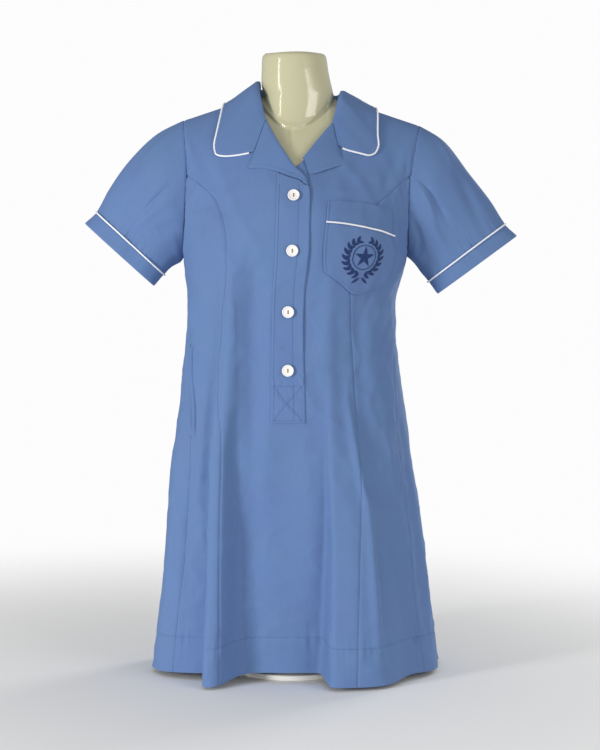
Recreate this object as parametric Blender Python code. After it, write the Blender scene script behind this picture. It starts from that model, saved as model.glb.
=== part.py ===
"""A short-sleeved school dress on a limbless torso form with a steel stand.

The dress is one shape, body(girth, level). Girth runs round the dress from the centre front: 0 at the
centre front, 1 at the wearer's left side, 2 or -2 at the centre back and -1 at the wearer's right side.
Level is the height of a ring of the dress; above the armpit the ring opens into a front and a back arc,
and tilts with the slope of the shoulders. Each panel is a patch of that shape between its seams, and
what lies on a panel is made from the same points, moved out. The wearer faces -Y, +Z is up, and the
origin is the middle of the underside of the stand's base.
"""

import math

import bmesh
import bpy
import numpy as np

# Cloth, in metres
WALL = 0.0015
SEAM_GAP = 0.0003
LAYER_GAP = 0.0005
PIPING_RADIUS = 0.0014
PIPING_SIDES = 5

# Shape of the dress
ARMPIT = 0.655
SHOULDER = 0.921
SHOULDER_SLOPE = 0.355
SHOULDER_ROUNDING = 0.030
SEAM_FORWARD = 0.004
ARMHOLE_FRONT = 0.054
ARMHOLE_BACK = 0.062
SQUARENESS = 0.87
CHEST_FLATNESS = 1.6
FLATNESS_REACH = 0.45
ARMHOLE_PULL = 2.5
HEM_HEIGHT = 0.0065
HEM_LIFT = 0.0085
HEM_REACH = 0.50
FORM_FORWARD = 0.020

# Stand
BASE_RADIUS = 0.095
BASE_THICKNESS = 0.008
BOSS_RADIUS = 0.020
BOSS_TOP = 0.034
POLE_RADIUS = 0.0125
FLANGE_RADIUS = 0.035
FLANGE_THICKNESS = 0.005
FORM_BOTTOM = 0.292
NECK_TOP = 0.9722

BUTTON_RADIUS = 0.009
BUTTON_THICKNESS = 0.003


def table(columns, *rows):
    """Rows of numbers under named columns, as one array for each column."""
    return dict(zip(columns.split(), np.array(rows, float).T))


# Half width, sideways shift and depth before and behind the form's axis of each ring of the dress
SECTIONS = table(
    "level half_width sway front back",
    (0.000, 0.2245, 0.0030, 0.086, 0.150),
    (0.063, 0.2184, 0.0020, 0.087, 0.145),
    (0.158, 0.2081, 0.0015, 0.090, 0.137),
    (0.253, 0.1994, 0.0000, 0.094, 0.129),
    (0.348, 0.1875, -0.0035, 0.099, 0.120),
    (0.420, 0.1773, -0.0035, 0.103, 0.110),
    (0.491, 0.1693, -0.0047, 0.106, 0.100),
    (0.538, 0.1646, -0.0047, 0.109, 0.095),
    (0.586, 0.1646, -0.0032, 0.115, 0.095),
    (0.633, 0.1725, 0.0008, 0.123, 0.099),
    (0.655, 0.1758, 0.0025, 0.127, 0.101),
    (0.700, 0.1740, 0.0035, 0.129, 0.103),
    (0.740, 0.1725, 0.0045, 0.121, 0.104),
    (0.780, 0.1722, 0.0055, 0.104, 0.100),
    (0.820, 0.1740, 0.0075, 0.083, 0.091),
    (0.860, 0.1780, 0.0095, 0.060, 0.077),
    (0.880, 0.1805, 0.0103, 0.047, 0.066),
    (0.895, 0.1825, 0.0109, 0.037, 0.055),
    (0.907, 0.1838, 0.0113, 0.0275, 0.041),
    (0.915, 0.1845, 0.0115, 0.018, 0.025),
    (0.921, 0.1848, 0.0115, 0.004, -0.004),
)

# Folds of the skirt: the level each starts at, the girths where it rises and falls at its start and at
# the hem, how widely it rises and falls, how far it stands out at the hem, dips there and leans
FOLDS = table(
    "top start_rise start_fall hem_rise hem_fall rise_width fall_width height dip lean",
    (0.640, -0.430, -0.330, -0.352, -0.235, 0.030, 0.070, 0.060, 0.0085, -0.004),
    (0.470, 0.173, 0.440, 0.103, 0.430, 0.030, 0.220, 0.062, 0.0085, -0.004),
    (0.520, 1.130, 1.330, 1.160, 1.400, 0.120, 0.140, 0.026, 0.003, 0.004),
    (0.560, 1.600, 1.760, 1.580, 1.800, 0.110, 0.130, 0.030, 0.004, -0.006),
    (0.540, -1.900, -1.740, -1.930, -1.700, 0.130, 0.110, 0.028, 0.004, 0.006),
    (0.500, -1.470, -1.300, -1.500, -1.230, 0.130, 0.130, 0.028, 0.004, -0.004),
)

# Girth of the curved seam from each armhole to the hem, on the wearer's right and left
PRINCESS_SEAMS = table(
    "level right left",
    (0.000, 0.265, 0.222),
    (0.060, 0.275, 0.235),
    (0.120, 0.287, 0.250),
    (0.190, 0.300, 0.269),
    (0.265, 0.310, 0.296),
    (0.320, 0.313, 0.318),
    (0.375, 0.328, 0.328),
    (0.440, 0.378, 0.336),
    (0.505, 0.392, 0.343),
    (0.570, 0.386, 0.333),
    (0.620, 0.366, 0.315),
    (0.655, 0.366, 0.317),
    (0.700, 0.400, 0.374),
    (0.740, 0.472, 0.482),
    (0.760, 0.540, 0.590),
    (0.776, 0.627, 0.672),
    (0.790, 0.740, 0.770),
    (0.800, 0.900, 0.890),
    (0.806, 1.000, 1.000),
)

# Girth of each side seam
SIDE_SEAMS = table(
    "level right left",
    (0.000, 0.620, 0.670),
    (0.120, 0.600, 0.645),
    (0.260, 0.595, 0.665),
    (0.360, 0.600, 0.690),
    (0.460, 0.690, 0.740),
    (0.515, 0.767, 0.800),
    (0.553, 0.850, 0.870),
    (0.600, 0.945, 0.945),
    (0.655, 1.000, 1.000),
)

# Girth of the neckline on each side, from the bottom of the V to the shoulder seam
NECKLINE = table(
    "level right left",
    (0.780, 0.016, -0.004),
    (0.813, 0.079, 0.060),
    (0.861, 0.157, 0.150),
    (0.880, 0.176, 0.162),
    (0.900, 0.190, 0.170),
    (0.921, 0.208, 0.180),
)
BACK_NECK_LEVEL = 0.902
BACK_NECK_WIDTH = 0.194
BACK_NECK_START = 0.878

# Power of the share that sets the back's columns closer together near its side seams
BACK_CROWDING = 1.3

# The front opening
SLOT_RIGHT = -0.074
SLOT_LEFT = 0.048
SLOT_BOTTOM = 0.400
PLACKET_LAP = 0.010
PLACKET_ROUNDING = 0.030

# A girth this far past the side keeps the armhole's back edge on the back arc
PAST_SIDE = 1e-6

# The collar, from its front end on the wearer's right round the back to the left: girth and level of the
# neckline and of its outer edge, with levels past the shoulder seam counted on down the back, the height
# of its roll, how upright the roll stands, and how far the outer edge is held off what lies under it
COLLAR = table(
    "neck_girth neck_level edge_girth edge_level roll upright under",
    (-0.157, 0.8610, -0.220, 0.8140, 0.0045, 0.0, 0.0000),
    (-0.163, 0.8655, -0.300, 0.8150, 0.0050, 0.0, 0.0002),
    (-0.169, 0.8710, -0.400, 0.8180, 0.0060, 0.0, 0.0004),
    (-0.176, 0.8800, -0.480, 0.8270, 0.0080, 0.0, 0.0006),
    (-0.184, 0.8920, -0.492, 0.8420, 0.0110, 0.1, 0.0008),
    (-0.194, 0.9050, -0.470, 0.8630, 0.0150, 0.2, 0.0020),
    (-0.204, 0.9170, -0.443, 0.8890, 0.0180, 0.3, 0.0026),
    (-0.208, 0.9210, -0.420, 0.9110, 0.0200, 0.4, 0.0028),
    (-0.200, 0.9260, -0.400, 0.9240, 0.0220, 0.6, 0.0026),
    (-0.170, 0.9330, -0.360, 0.9440, 0.0250, 0.7, 0.0010),
    (-0.110, 0.9380, -0.220, 0.9610, 0.0270, 0.8, 0.0006),
    (-0.040, 0.9398, -0.080, 0.9725, 0.0280, 0.8, 0.0006),
    (0.040, 0.9398, 0.080, 0.9725, 0.0280, 0.8, 0.0006),
    (0.105, 0.9380, 0.220, 0.9610, 0.0270, 0.8, 0.0006),
    (0.155, 0.9330, 0.350, 0.9440, 0.0215, 0.7, 0.0010),
    (0.177, 0.9260, 0.390, 0.9240, 0.0165, 0.6, 0.0026),
    (0.180, 0.9210, 0.402, 0.9110, 0.0140, 0.4, 0.0028),
    (0.176, 0.9130, 0.412, 0.8890, 0.0150, 0.3, 0.0026),
    (0.171, 0.9020, 0.425, 0.8630, 0.0150, 0.2, 0.0020),
    (0.166, 0.8900, 0.440, 0.8440, 0.0110, 0.1, 0.0008),
    (0.161, 0.8790, 0.425, 0.8300, 0.0080, 0.0, 0.0006),
    (0.156, 0.8700, 0.365, 0.8220, 0.0060, 0.0, 0.0004),
    (0.152, 0.8640, 0.270, 0.8225, 0.0050, 0.0, 0.0002),
    (0.149, 0.8600, 0.184, 0.8260, 0.0045, 0.0, 0.0000),
)

# The lapels, from the bottom of the V up to the gorge on the right, and down again on the left
LAPEL_RIGHT = table(
    "neck_girth neck_level edge_girth edge_level roll under",
    (0.041, 0.7508, 0.030, 0.7530, 0.0008, 0.0021),
    (0.026, 0.7620, 0.006, 0.7600, 0.0015, 0.0021),
    (-0.016, 0.7800, -0.030, 0.7645, 0.0025, 0.0020),
    (-0.046, 0.7960, -0.090, 0.7740, 0.0035, 0.0012),
    (-0.079, 0.8130, -0.165, 0.7830, 0.0040, 0.0004),
    (-0.110, 0.8300, -0.247, 0.7880, 0.0042, 0.0),
    (-0.136, 0.8460, -0.234, 0.8010, 0.0045, 0.0),
    (-0.1565, 0.8605, -0.220, 0.8130, 0.0045, 0.0),
)
LAPEL_LEFT = table(
    "neck_girth neck_level edge_girth edge_level roll under",
    (0.1485, 0.8590, 0.185, 0.8245, 0.0045, 0.0),
    (0.118, 0.8440, 0.208, 0.8110, 0.0045, 0.0),
    (0.092, 0.8300, 0.232, 0.7980, 0.0042, 0.0),
    (0.060, 0.8130, 0.150, 0.7830, 0.0036, 0.0),
    (0.038, 0.8010, 0.078, 0.7720, 0.0028, 0.0),
    (0.022, 0.7925, 0.046, 0.7690, 0.0020, 0.0),
)

# Section of a rolled edge, from its seam over the roll to its outer edge: share of the way across, how
# far it leans into the neck, share of the roll's height, and lift of its outer face off the dress
ROLLED = table(
    "across inward height lift",
    (0.00, 0.0019, 0.00, 0.0006),
    (0.00, 0.0026, 0.55, 0.0012),
    (0.00, 0.0020, 0.90, 0.0022),
    (0.05, 0.0000, 1.00, 0.0026),
    (0.20, 0.0000, 0.80, 0.0025),
    (0.45, 0.0000, 0.46, 0.0023),
    (0.72, 0.0000, 0.18, 0.0021),
    (1.00, 0.0000, 0.00, 0.0020),
)

# The chest pocket on the wearer's left: girths of its sides by share of its height, and levels of its
# foot, its band's lower edge and its top by share of its width
POCKET_SIDES = table(
    "share right left",
    (0.00, 0.138, 0.655),
    (0.30, 0.122, 0.645),
    (0.70, 0.134, 0.618),
    (1.00, 0.141, 0.628),
)
POCKET_LEVELS = table(
    "share foot seam top",
    (0.00, 0.622, 0.6960, 0.7275),
    (0.20, 0.605, 0.6955, 0.7325),
    (0.43, 0.588, 0.6930, 0.7335),
    (0.75, 0.599, 0.6880, 0.7330),
    (0.90, 0.605, 0.6845, 0.7295),
    (1.00, 0.616, 0.6830, 0.7265),
)

POCKET_FULLNESS = 0.0012
BAND_LIFT = 0.0002

BUTTON_LEVELS = (0.7335, 0.652, 0.5615, 0.4735)
BUTTON_GIRTH = -0.009

# Each sleeve, from armhole to hem: its upper and lower line, and its depth before and behind them
SLEEVE_RIGHT = table(
    "share outer_x outer_z inner_x inner_z front back",
    (0.00, 0.1733, 0.8690, 0.1733, 0.6550, 0.054, 0.062),
    (0.22, 0.2140, 0.8480, 0.1790, 0.6495, 0.056, 0.060),
    (0.50, 0.2610, 0.8030, 0.1870, 0.6440, 0.050, 0.052),
    (0.75, 0.2940, 0.7570, 0.1965, 0.6360, 0.042, 0.043),
    (0.88, 0.3119, 0.7250, 0.2058, 0.6269, 0.037, 0.038),
    (1.00, 0.3309, 0.7070, 0.2216, 0.6079, 0.036, 0.037),
)
SLEEVE_LEFT = table(
    "share outer_x outer_z inner_x inner_z front back",
    (0.00, 0.1963, 0.8610, 0.1783, 0.6550, 0.054, 0.062),
    (0.22, 0.2350, 0.8370, 0.1850, 0.6495, 0.056, 0.060),
    (0.50, 0.2770, 0.7850, 0.1925, 0.6420, 0.050, 0.052),
    (0.75, 0.3120, 0.7400, 0.2015, 0.6290, 0.042, 0.043),
    (0.88, 0.3332, 0.7060, 0.2128, 0.6158, 0.038, 0.039),
    (1.00, 0.3525, 0.6870, 0.2272, 0.5952, 0.037, 0.038),
)
CUFF_SHARE = 0.88
SLEEVE_SHARES = (0, 0.06, 0.20, 0.36, 0.54, 0.72)

# The torso form: half width and depth before and behind its axis at each height
FORM_SECTIONS = table(
    "level half_width front back",
    (FORM_BOTTOM, 0.140, 0.075, 0.085),
    (0.300, 0.148, 0.082, 0.092),
    (0.330, 0.156, 0.087, 0.097),
    (0.370, 0.160, 0.090, 0.099),
    (0.430, 0.154, 0.088, 0.093),
    (0.500, 0.140, 0.083, 0.082),
    (0.550, 0.138, 0.084, 0.078),
    (0.610, 0.148, 0.097, 0.084),
    (0.670, 0.160, 0.118, 0.095),
    (0.710, 0.164, 0.125, 0.100),
    (0.760, 0.166, 0.115, 0.103),
    (NECK_TOP, 0.166, 0.110, 0.103),
)
FORM_EASE = 0.0032
FORM_ROUNDNESS = 0.9
FORM_CROWDING = 0.2

# Its neck, an oval ahead of the axis that runs down into the trunk: half widths on the wearer's right and
# left, where it slopes into the shoulder, and half depth
NECK_SECTIONS = table(
    "level right left depth",
    (0.780, 0.0300, 0.0300, 0.020),
    (0.850, 0.0470, 0.0500, 0.0440),
    (0.893, 0.0470, 0.0620, 0.0459),
    (0.903, 0.0460, 0.0630, 0.0463),
    (0.912, 0.0482, 0.0612, 0.0467),
    (0.922, 0.0508, 0.0590, 0.0471),
    (0.932, 0.0512, 0.0566, 0.0475),
    (0.944, 0.0508, 0.0542, 0.0479),
    (0.9620, 0.0503, 0.0516, 0.0480),
    (0.9682, 0.0491, 0.0501, 0.0467),
    (NECK_TOP, 0.0450, 0.0458, 0.0425),
)
NECK_FORWARD = 0.012
# The neck's top slopes down to the front, more and more from the level where the slope starts
NECK_SLOPE = 0.16
NECK_SLOPE_START = 0.930
NECK_BLEND = 30

# Levels of the rows of every panel; the armhole's points lie on the rows above the armpit
SKIRT_ROWS = (0, 0.05, 0.10, 0.15, 0.20, 0.25, 0.30, 0.35, 0.40, 0.45, 0.50, 0.54, 0.575, 0.615)
CHEST_ROWS = (
    (ARMPIT, 0.659, 0.672, 0.700, 0.722, 0.742, 0.760, 0.776, 0.790, 0.800)
    + (0.806, 0.830, 0.855, 0.878, 0.897, 0.910, 0.9175, SHOULDER)
)
ROWS = np.array(SKIRT_ROWS + CHEST_ROWS)


def follow(stations, values, where):
    """Value at each place of the smooth curve through the stations, which never overshoots them."""
    gaps = np.diff(stations)
    climbs = np.diff(values) / gaps
    before, after = climbs[:-1], climbs[1:]
    turns = before * after <= 0
    middle = np.where(turns, 0, 2 * before * after / np.where(turns, 1, before + after))
    slopes = np.concatenate([climbs[:1], middle, climbs[-1:]])
    where = np.asarray(where, float)
    i = np.clip(np.searchsorted(stations, where, side="right") - 1, 0, len(gaps) - 1)
    t = np.clip((where - stations[i]) / gaps[i], 0, 1)
    ease = t * t * (3 - 2 * t)
    leave = (t**3 - 2 * t**2 + t) * gaps[i] * slopes[i]
    arrive = (t**3 - t**2) * gaps[i] * slopes[i + 1]
    return (1 - ease) * values[i] + ease * values[i + 1] + leave + arrive


def read(rows, column, where, along="level"):
    return follow(rows[along], rows[column], where)


def unit(vectors):
    return vectors / np.linalg.norm(vectors, axis=-1, keepdims=True)


def wrap(girth):
    return (girth + 2) % 4 - 2


def slope_drop(x):
    """How far the line of the shoulders lies below its top, at each distance from the middle."""
    return SHOULDER_SLOPE * (np.hypot(x, SHOULDER_ROUNDING) - SHOULDER_ROUNDING)


def chest_rise(level):
    return np.clip((level - ARMPIT) / (SHOULDER - ARMPIT), 0, 1)


def arc(angle, level, front):
    """Share of the depth kept at an angle round a ring, and the distance from the form's axis there."""
    rise = chest_rise(level)
    grown = np.clip(rise / FLATNESS_REACH, 0, 1)
    flatness = SQUARENESS + (CHEST_FLATNESS - SQUARENESS) * grown * grown * (3 - 2 * grown)
    along = np.abs(np.cos(angle)) ** flatness
    arch = 2 * np.sqrt(rise * (1 - rise))
    edge = np.where(front, ARMHOLE_FRONT, ARMHOLE_BACK) * arch + np.where(front, 1, -1) * SEAM_FORWARD * rise
    depth = np.where(front, read(SECTIONS, "front", level), read(SECTIONS, "back", level))
    return along, depth * along + edge * (1 - along) ** (1 + ARMHOLE_PULL * (1 - rise) ** 4)


def body(girth, level, face=None):
    """Points of the dress's outer face. Face, -1 or 1, keeps a point at the side on the front or back."""
    girth, level = np.broadcast_arrays(np.asarray(girth, float), np.asarray(level, float))
    g = wrap(girth)
    side = np.where(g < 0, -1.0, 1.0)
    out = np.where(np.abs(g) <= 1, -1.0, 1.0) if face is None else np.broadcast_to(face, g.shape)
    front = out < 0
    angle = np.abs(g) * math.pi / 2
    rise = chest_rise(level)
    across = np.clip(np.sin(angle), 0, 1) ** SQUARENESS
    along, reach = arc(angle, level, front)
    depth = np.where(front, read(SECTIONS, "front", level), read(SECTIONS, "back", level))
    half = read(SECTIONS, "half_width", level)
    x = read(SECTIONS, "sway", level) + side * half * across
    y = out * reach
    near_hem = np.clip(1 - level / HEM_REACH, 0, 1) ** 2
    z = level + (HEM_HEIGHT + HEM_LIFT * along**3) * near_hem - rise * slope_drop(x)
    nx = side * across ** (2 / SQUARENESS - 1) / half
    ny = out * along ** (2 / SQUARENESS - 1) / np.maximum(depth, 0.02)
    nx, ny = nx / np.hypot(nx, ny), ny / np.hypot(nx, ny)
    for fold in zip(*FOLDS.values()):
        top, start_rise, start_fall, hem_rise, hem_fall, rise_width, fall_width, height, dip, lean = fold
        grown = np.clip(1 - level / top, 0, 1)
        spread = 0.45 + 0.55 * grown
        past_rise = wrap(g - start_rise - (hem_rise - start_rise) * grown) / (rise_width * spread)
        before_fall = wrap(start_fall + (hem_fall - start_fall) * grown - g) / (fall_width * spread)
        ridge = (1 + np.tanh(2 * past_rise)) * (1 + np.tanh(2 * before_fall)) / 4
        amount = ridge * grown**1.25
        x = x + amount * (height * nx - lean * ny)
        y = y + amount * (height * ny + lean * nx)
        z = z - amount * dip
    return np.stack([x, y - FORM_FORWARD, z], -1)


def leaning(g, level, face):
    """Outward directions of one face of the dress, from points a short way off along girth and level."""
    open_ring = level > ARMPIT
    low, high = g - 0.003, g + 0.003
    limit_low = np.where(face < 0, -1.0, np.where(g < 0, -3.0, 1.0))
    limit_high = np.where(face < 0, 1.0, np.where(g < 0, -1.0, 3.0))
    low = np.where(open_ring, np.maximum(low, limit_low), low)
    high = np.where(open_ring, np.minimum(high, limit_high), high)
    ahead = np.where(open_ring, face, np.where(np.abs(wrap(high)) <= 1, -1.0, 1.0))
    behind = np.where(open_ring, face, np.where(np.abs(wrap(low)) <= 1, -1.0, 1.0))
    round_it = body(high, level, ahead) - body(low, level, behind)
    up_it = body(g, np.minimum(level + 0.001, SHOULDER), face) - body(g, np.maximum(level - 0.001, 0), face)
    return unit(np.cross(round_it, up_it))


def normals(girth, level):
    """Outward directions of the dress; on the shoulder seam they lie midway between front and back."""
    girth, level = np.broadcast_arrays(np.asarray(girth, float), np.asarray(level, float))
    g = wrap(girth)
    face = np.where(np.abs(g) <= 1, -1.0, 1.0)
    here = leaning(g, level, face)
    across = np.where(g < 0, -1.0, 1.0) * (2 - np.abs(g))
    there = leaning(across, level, -face)
    on_ridge = (level > SHOULDER - 1e-6)[..., None]
    return np.where(on_ridge, unit(here + there), here)


def over(girth, level):
    """A point by its girth from the centre front, and its level counted on over the shoulder seam."""
    girth, level = np.broadcast_arrays(np.asarray(girth, float), np.asarray(level, float))
    behind = level > SHOULDER
    side = np.where(girth < 0, -1.0, 1.0)
    return np.where(behind, side * (2 - np.abs(girth)), girth), np.where(behind, 2 * SHOULDER - level, level)


def material(name, colour, roughness, metallic=0.0):
    made = bpy.data.materials.new(name)
    made.use_nodes = True
    shader = made.node_tree.nodes["Principled BSDF"]
    shader.inputs["Base Color"].default_value = (*colour, 1.0)
    shader.inputs["Roughness"].default_value = roughness
    shader.inputs["Metallic"].default_value = metallic
    return made


def place(name, points, faces, finish, smooth_below=40):
    """One closed body as an object, shaded smooth but for its sharp edges."""
    mesh = bpy.data.meshes.new(name)
    mesh.from_pydata([tuple(map(float, point)) for point in points], [], faces)
    mesh.materials.append(finish)
    mesh.shade_smooth()
    mesh.set_sharp_from_angle(angle=math.radians(smooth_below))
    made = bpy.data.objects.new(name, mesh)
    bpy.context.collection.objects.link(made)
    return made


def wall(name, outer, inner, finish, keep=None, ring=False):
    """A closed wall between two grids of points, over the grid's kept cells, or right round a ring."""
    columns, rows = outer.shape[:2]
    cells = columns if ring else columns - 1
    keep = np.ones((cells, rows - 1), bool) if keep is None else keep
    faces = []
    for i, j in zip(*np.nonzero(keep)):
        a, b = i * rows + j, (i + 1) % columns * rows + j
        faces += [(a, b, b + 1), (a, b + 1, a + 1)]
    edges = {(face[k], face[(k + 1) % 3]) for face in faces for k in range(3)}
    rim = [(a, b) for a, b in sorted(edges) if (b, a) not in edges]
    back = columns * rows
    sheet = list(faces)
    faces += [(c + back, b + back, a + back) for a, b, c in sheet]
    faces += [(b, a, a + back) for a, b in rim] + [(b, a + back, b + back) for a, b in rim]
    points = np.concatenate([outer.reshape(-1, 3), inner.reshape(-1, 3)])
    used = np.unique([k for face in faces for k in face])
    new = np.full(len(points), -1)
    new[used] = np.arange(len(used))
    return place(name, points[used], [tuple(int(new[k]) for k in face) for face in faces], finish)


def draw_in(points, edges, by=SEAM_GAP / 2):
    """Move the named edges of a grid in towards the next points of it."""
    moved = points.copy()
    if "first" in edges:
        moved[0] += by * unit(points[1] - points[0])
    if "last" in edges:
        moved[-1] += by * unit(points[-2] - points[-1])
    if "bottom" in edges:
        moved[:, 0] += by * unit(points[:, 1] - points[:, 0])
    if "top" in edges:
        moved[:, -1] += by * unit(points[:, -2] - points[:, -1])
    return moved


def patch(name, girth, level, finish, seams, lift=0.0, keep=None):
    """A piece of the dress from a grid of girths and levels, with its outer face lifted off the dress."""
    out = normals(girth, level)
    outer = body(girth, level) + lift * out
    inner = outer - WALL * out
    return wall(name, draw_in(outer, seams), draw_in(inner, seams), finish, keep)


def between(guides, steps):
    """Columns of girths between guide lines, each guide an array along the rows, in steps from 0 to 1."""
    columns = []
    for low, high, shares in zip(guides, guides[1:], steps):
        columns += [low + (high - low) * share for share in shares]
    return np.array(columns + [guides[-1]])


def even(count):
    return [k / count for k in range(count)]


def princess(side, level):
    sign = {"right": -1, "left": 1}[side]
    return sign * read(PRINCESS_SEAMS, side, level)


def side_seam(side, level):
    sign = {"right": -1, "left": 1}[side]
    return sign * read(SIDE_SEAMS, side, level)


def neckline(side, level):
    sign = {"right": -1, "left": 1}[side]
    return sign * read(NECKLINE, side, level)


def fold_line(which, level):
    """Girth of the sharp edge of a front fold, at each level."""
    start, hem = FOLDS["start_rise"][which], FOLDS["hem_rise"][which]
    return start + (hem - start) * np.clip(1 - level / FOLDS["top"][which], 0, 1)


def front_centre(finish):
    """The middle front panel, slit for the placket and open in a V above it."""
    level = ROWS
    in_right = np.where(level > SLOT_BOTTOM, np.minimum(neckline("right", level), SLOT_RIGHT), SLOT_RIGHT)
    in_left = np.where(level > SLOT_BOTTOM, np.maximum(neckline("left", level), SLOT_LEFT), SLOT_LEFT)
    fold = np.minimum(fold_line(1, level), 0.5 * in_left + 0.5 * princess("left", level))
    guides = [princess("right", level), in_right, in_left, fold - 0.018, fold + 0.018, princess("left", level)]
    steps = [even(7), even(3), even(2), even(3), even(5)]
    girth = between(guides, steps)
    keep = np.ones((len(girth) - 1, len(level) - 1), bool)
    keep[7:10, int(np.searchsorted(ROWS, SLOT_BOTTOM)):] = False
    level = np.broadcast_to(level, girth.shape)
    return patch("front_centre", girth, level, finish, "first last top", keep=keep)


def side_front(side, finish):
    """The front panel between the curved seam and the side seam; it ends in a point at the armhole."""
    level = ROWS[ROWS < 0.8005]
    seam, outer = princess(side, level), side_seam(side, level)
    if side == "right":
        fold = np.clip(fold_line(0, level), outer + 0.05, seam - 0.035)
        girth = between([outer, fold - 0.018, fold + 0.018, seam], [even(5), even(3), even(2)])
    else:
        girth = between([seam, outer], [even(7)])
    return patch(f"side_front_{side}", girth, np.broadcast_to(level, girth.shape), finish, "first last top")


def back(finish):
    """The back panel, in one piece from side seam to side seam."""
    left, right = side_seam("left", ROWS) + PAST_SIDE, side_seam("right", ROWS) + 4 - PAST_SIDE
    neck = np.full(len(ROWS), BACK_NECK_WIDTH)
    steps = np.array(even(8)) ** BACK_CROWDING
    girth = between([left, 2 - neck, 2 + neck, right], [steps, even(8), 1 - np.append(steps, 1)[:0:-1]])
    near = np.clip(1 - (np.abs(girth - 2) / BACK_NECK_WIDTH) ** 2, 0, 1)
    top = SHOULDER - (SHOULDER - BACK_NECK_LEVEL) * near**0.7
    above = np.clip((ROWS - BACK_NECK_START) / (SHOULDER - BACK_NECK_START), 0, None)
    level = np.where(ROWS > BACK_NECK_START, BACK_NECK_START + (top - BACK_NECK_START) * above, ROWS)
    return patch("back", girth, level, finish, "first last top")


def placket_under(finish):
    """The lower strip of the front opening, which fills its slot up to the V."""
    girth = np.linspace(SLOT_RIGHT, SLOT_LEFT, 5)[:, None]
    level = ROWS[(ROWS > SLOT_BOTTOM - 1e-6) & (ROWS < 0.745)]
    stations = NECKLINE["level"]
    top = np.where(girth < 0, np.interp(-girth, NECKLINE["right"], stations),
                   np.interp(girth, NECKLINE["left"], stations))
    start = level[-1]
    climb = start + (top - start) * np.array([0.25, 0.5, 0.75, 1])
    level = np.concatenate([np.broadcast_to(level, (5, len(level))), climb], axis=1)
    patch("placket_under", np.broadcast_to(girth, level.shape), level, finish, "first last bottom top")


def placket_edge(girth, level):
    """Girth over the placket's strip, whose free edge rounds off below the end of the lapel."""
    left = SLOT_LEFT + PLACKET_LAP / 2
    across = np.clip((girth - left) / PLACKET_ROUNDING + 1, 0, 1)
    return girth - 0.5 * PLACKET_ROUNDING * across * np.clip((level - 0.736) / 0.017, 0, 1) ** 2


def placket_over(finish):
    """The upper strip, which the lapel turns back from; it laps the slot by a few millimetres."""
    girth = np.linspace(SLOT_RIGHT - PLACKET_LAP, SLOT_LEFT + PLACKET_LAP / 2, 5)[:, None]
    foot = SLOT_BOTTOM - 0.006
    level = np.concatenate([[foot], ROWS[(ROWS > SLOT_BOTTOM + 0.01) & (ROWS < 0.745)]])
    lapel = np.interp(girth, LAPEL_RIGHT["edge_girth"][4::-1], LAPEL_RIGHT["edge_level"][4::-1])
    level = np.concatenate([np.broadcast_to(level, (5, len(level))), lapel - 0.0024], axis=1)
    girth = placket_edge(girth, level)
    patch("placket_over", girth, level, finish, "", lift=WALL + LAYER_GAP)


def grid_normals(points, ring=False):
    """Directions out of a grid of points, from its neighbours along both of its ways."""
    if ring:
        round_it = np.roll(points, -1, axis=0) - np.roll(points, 1, axis=0)
    else:
        round_it = np.gradient(points, axis=0)
    return unit(np.cross(round_it, np.gradient(points, axis=1)))


def smoothed(rows, parts):
    """A table with smooth rows put in between its own."""
    count = len(next(iter(rows.values())))
    fine = np.linspace(0, count - 1, (count - 1) * parts + 1)
    return {name: follow(np.arange(count), values, fine) for name, values in rows.items()}


def rolled(rows):
    """Outer points of a piece that rises from the neckline, rolls over and lies back on the dress."""
    neck = over(rows["neck_girth"], rows["neck_level"])
    edge = over(rows["edge_girth"], rows["edge_level"])
    out = normals(*neck)
    run = np.gradient(body(*neck), axis=0)
    into_neck = unit(np.cross(run, out))
    upright = rows.get("upright", np.zeros(len(run)))[:, None]
    rise = unit(out * (1 - upright) + np.array([0, 0, 1.0]) * upright)
    under = rows.get("under", np.zeros(len(run)))[:, None]
    columns = []
    for across, inward, height, lift in zip(*ROLLED.values()):
        girth = rows["neck_girth"] + across * (rows["edge_girth"] - rows["neck_girth"])
        level = rows["neck_level"] + across * (rows["edge_level"] - rows["neck_level"])
        place_on = over(girth, level)
        base = body(*place_on) + (lift + under * across) * normals(*place_on)
        columns.append(base + inward * into_neck + height * rows["roll"][:, None] * rise)
    return np.stack(columns, axis=1)


def turned_piece(name, rows, finish, seams):
    outer = rolled(rows)
    inner = outer - WALL * grid_normals(outer)
    wall(name, draw_in(outer, seams), draw_in(inner, seams), finish)
    return outer


def piping(name, path, finish, closed=False):
    """A cord of a few sides along a path of points."""
    if closed:
        run = np.roll(path, -1, axis=0) - np.roll(path, 1, axis=0)
    else:
        run = np.gradient(path, axis=0)
    run = unit(run)
    across = unit(np.cross(run, np.broadcast_to([0.0, -1.0, 0.3], run.shape)))
    upward = np.cross(across, run)
    turn = np.linspace(0, 2 * math.pi, PIPING_SIDES, endpoint=False)
    ring = np.cos(turn)[None, :, None] * across[:, None] + np.sin(turn)[None, :, None] * upward[:, None]
    points = path[:, None] + PIPING_RADIUS * ring
    count = len(path)
    faces = []
    for i in range(count if closed else count - 1):
        for k in range(PIPING_SIDES):
            a, b = i * PIPING_SIDES + k, i * PIPING_SIDES + (k + 1) % PIPING_SIDES
            c, d = (a + PIPING_SIDES) % (count * PIPING_SIDES), (b + PIPING_SIDES) % (count * PIPING_SIDES)
            faces.append((a, c, d, b))
    if not closed:
        first = list(range(PIPING_SIDES))
        faces += [tuple(first), tuple(k + (count - 1) * PIPING_SIDES for k in first[::-1])]
    return place(name, points.reshape(-1, 3), faces, finish)


def edge_path(points, out, aside):
    """A path beside an edge: a cord's radius and a gap away from it, and as far above what it lies on."""
    run = np.gradient(points, axis=0)
    away = unit(np.cross(run, out)) * aside
    return points + away * (PIPING_RADIUS + SEAM_GAP)


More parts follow.
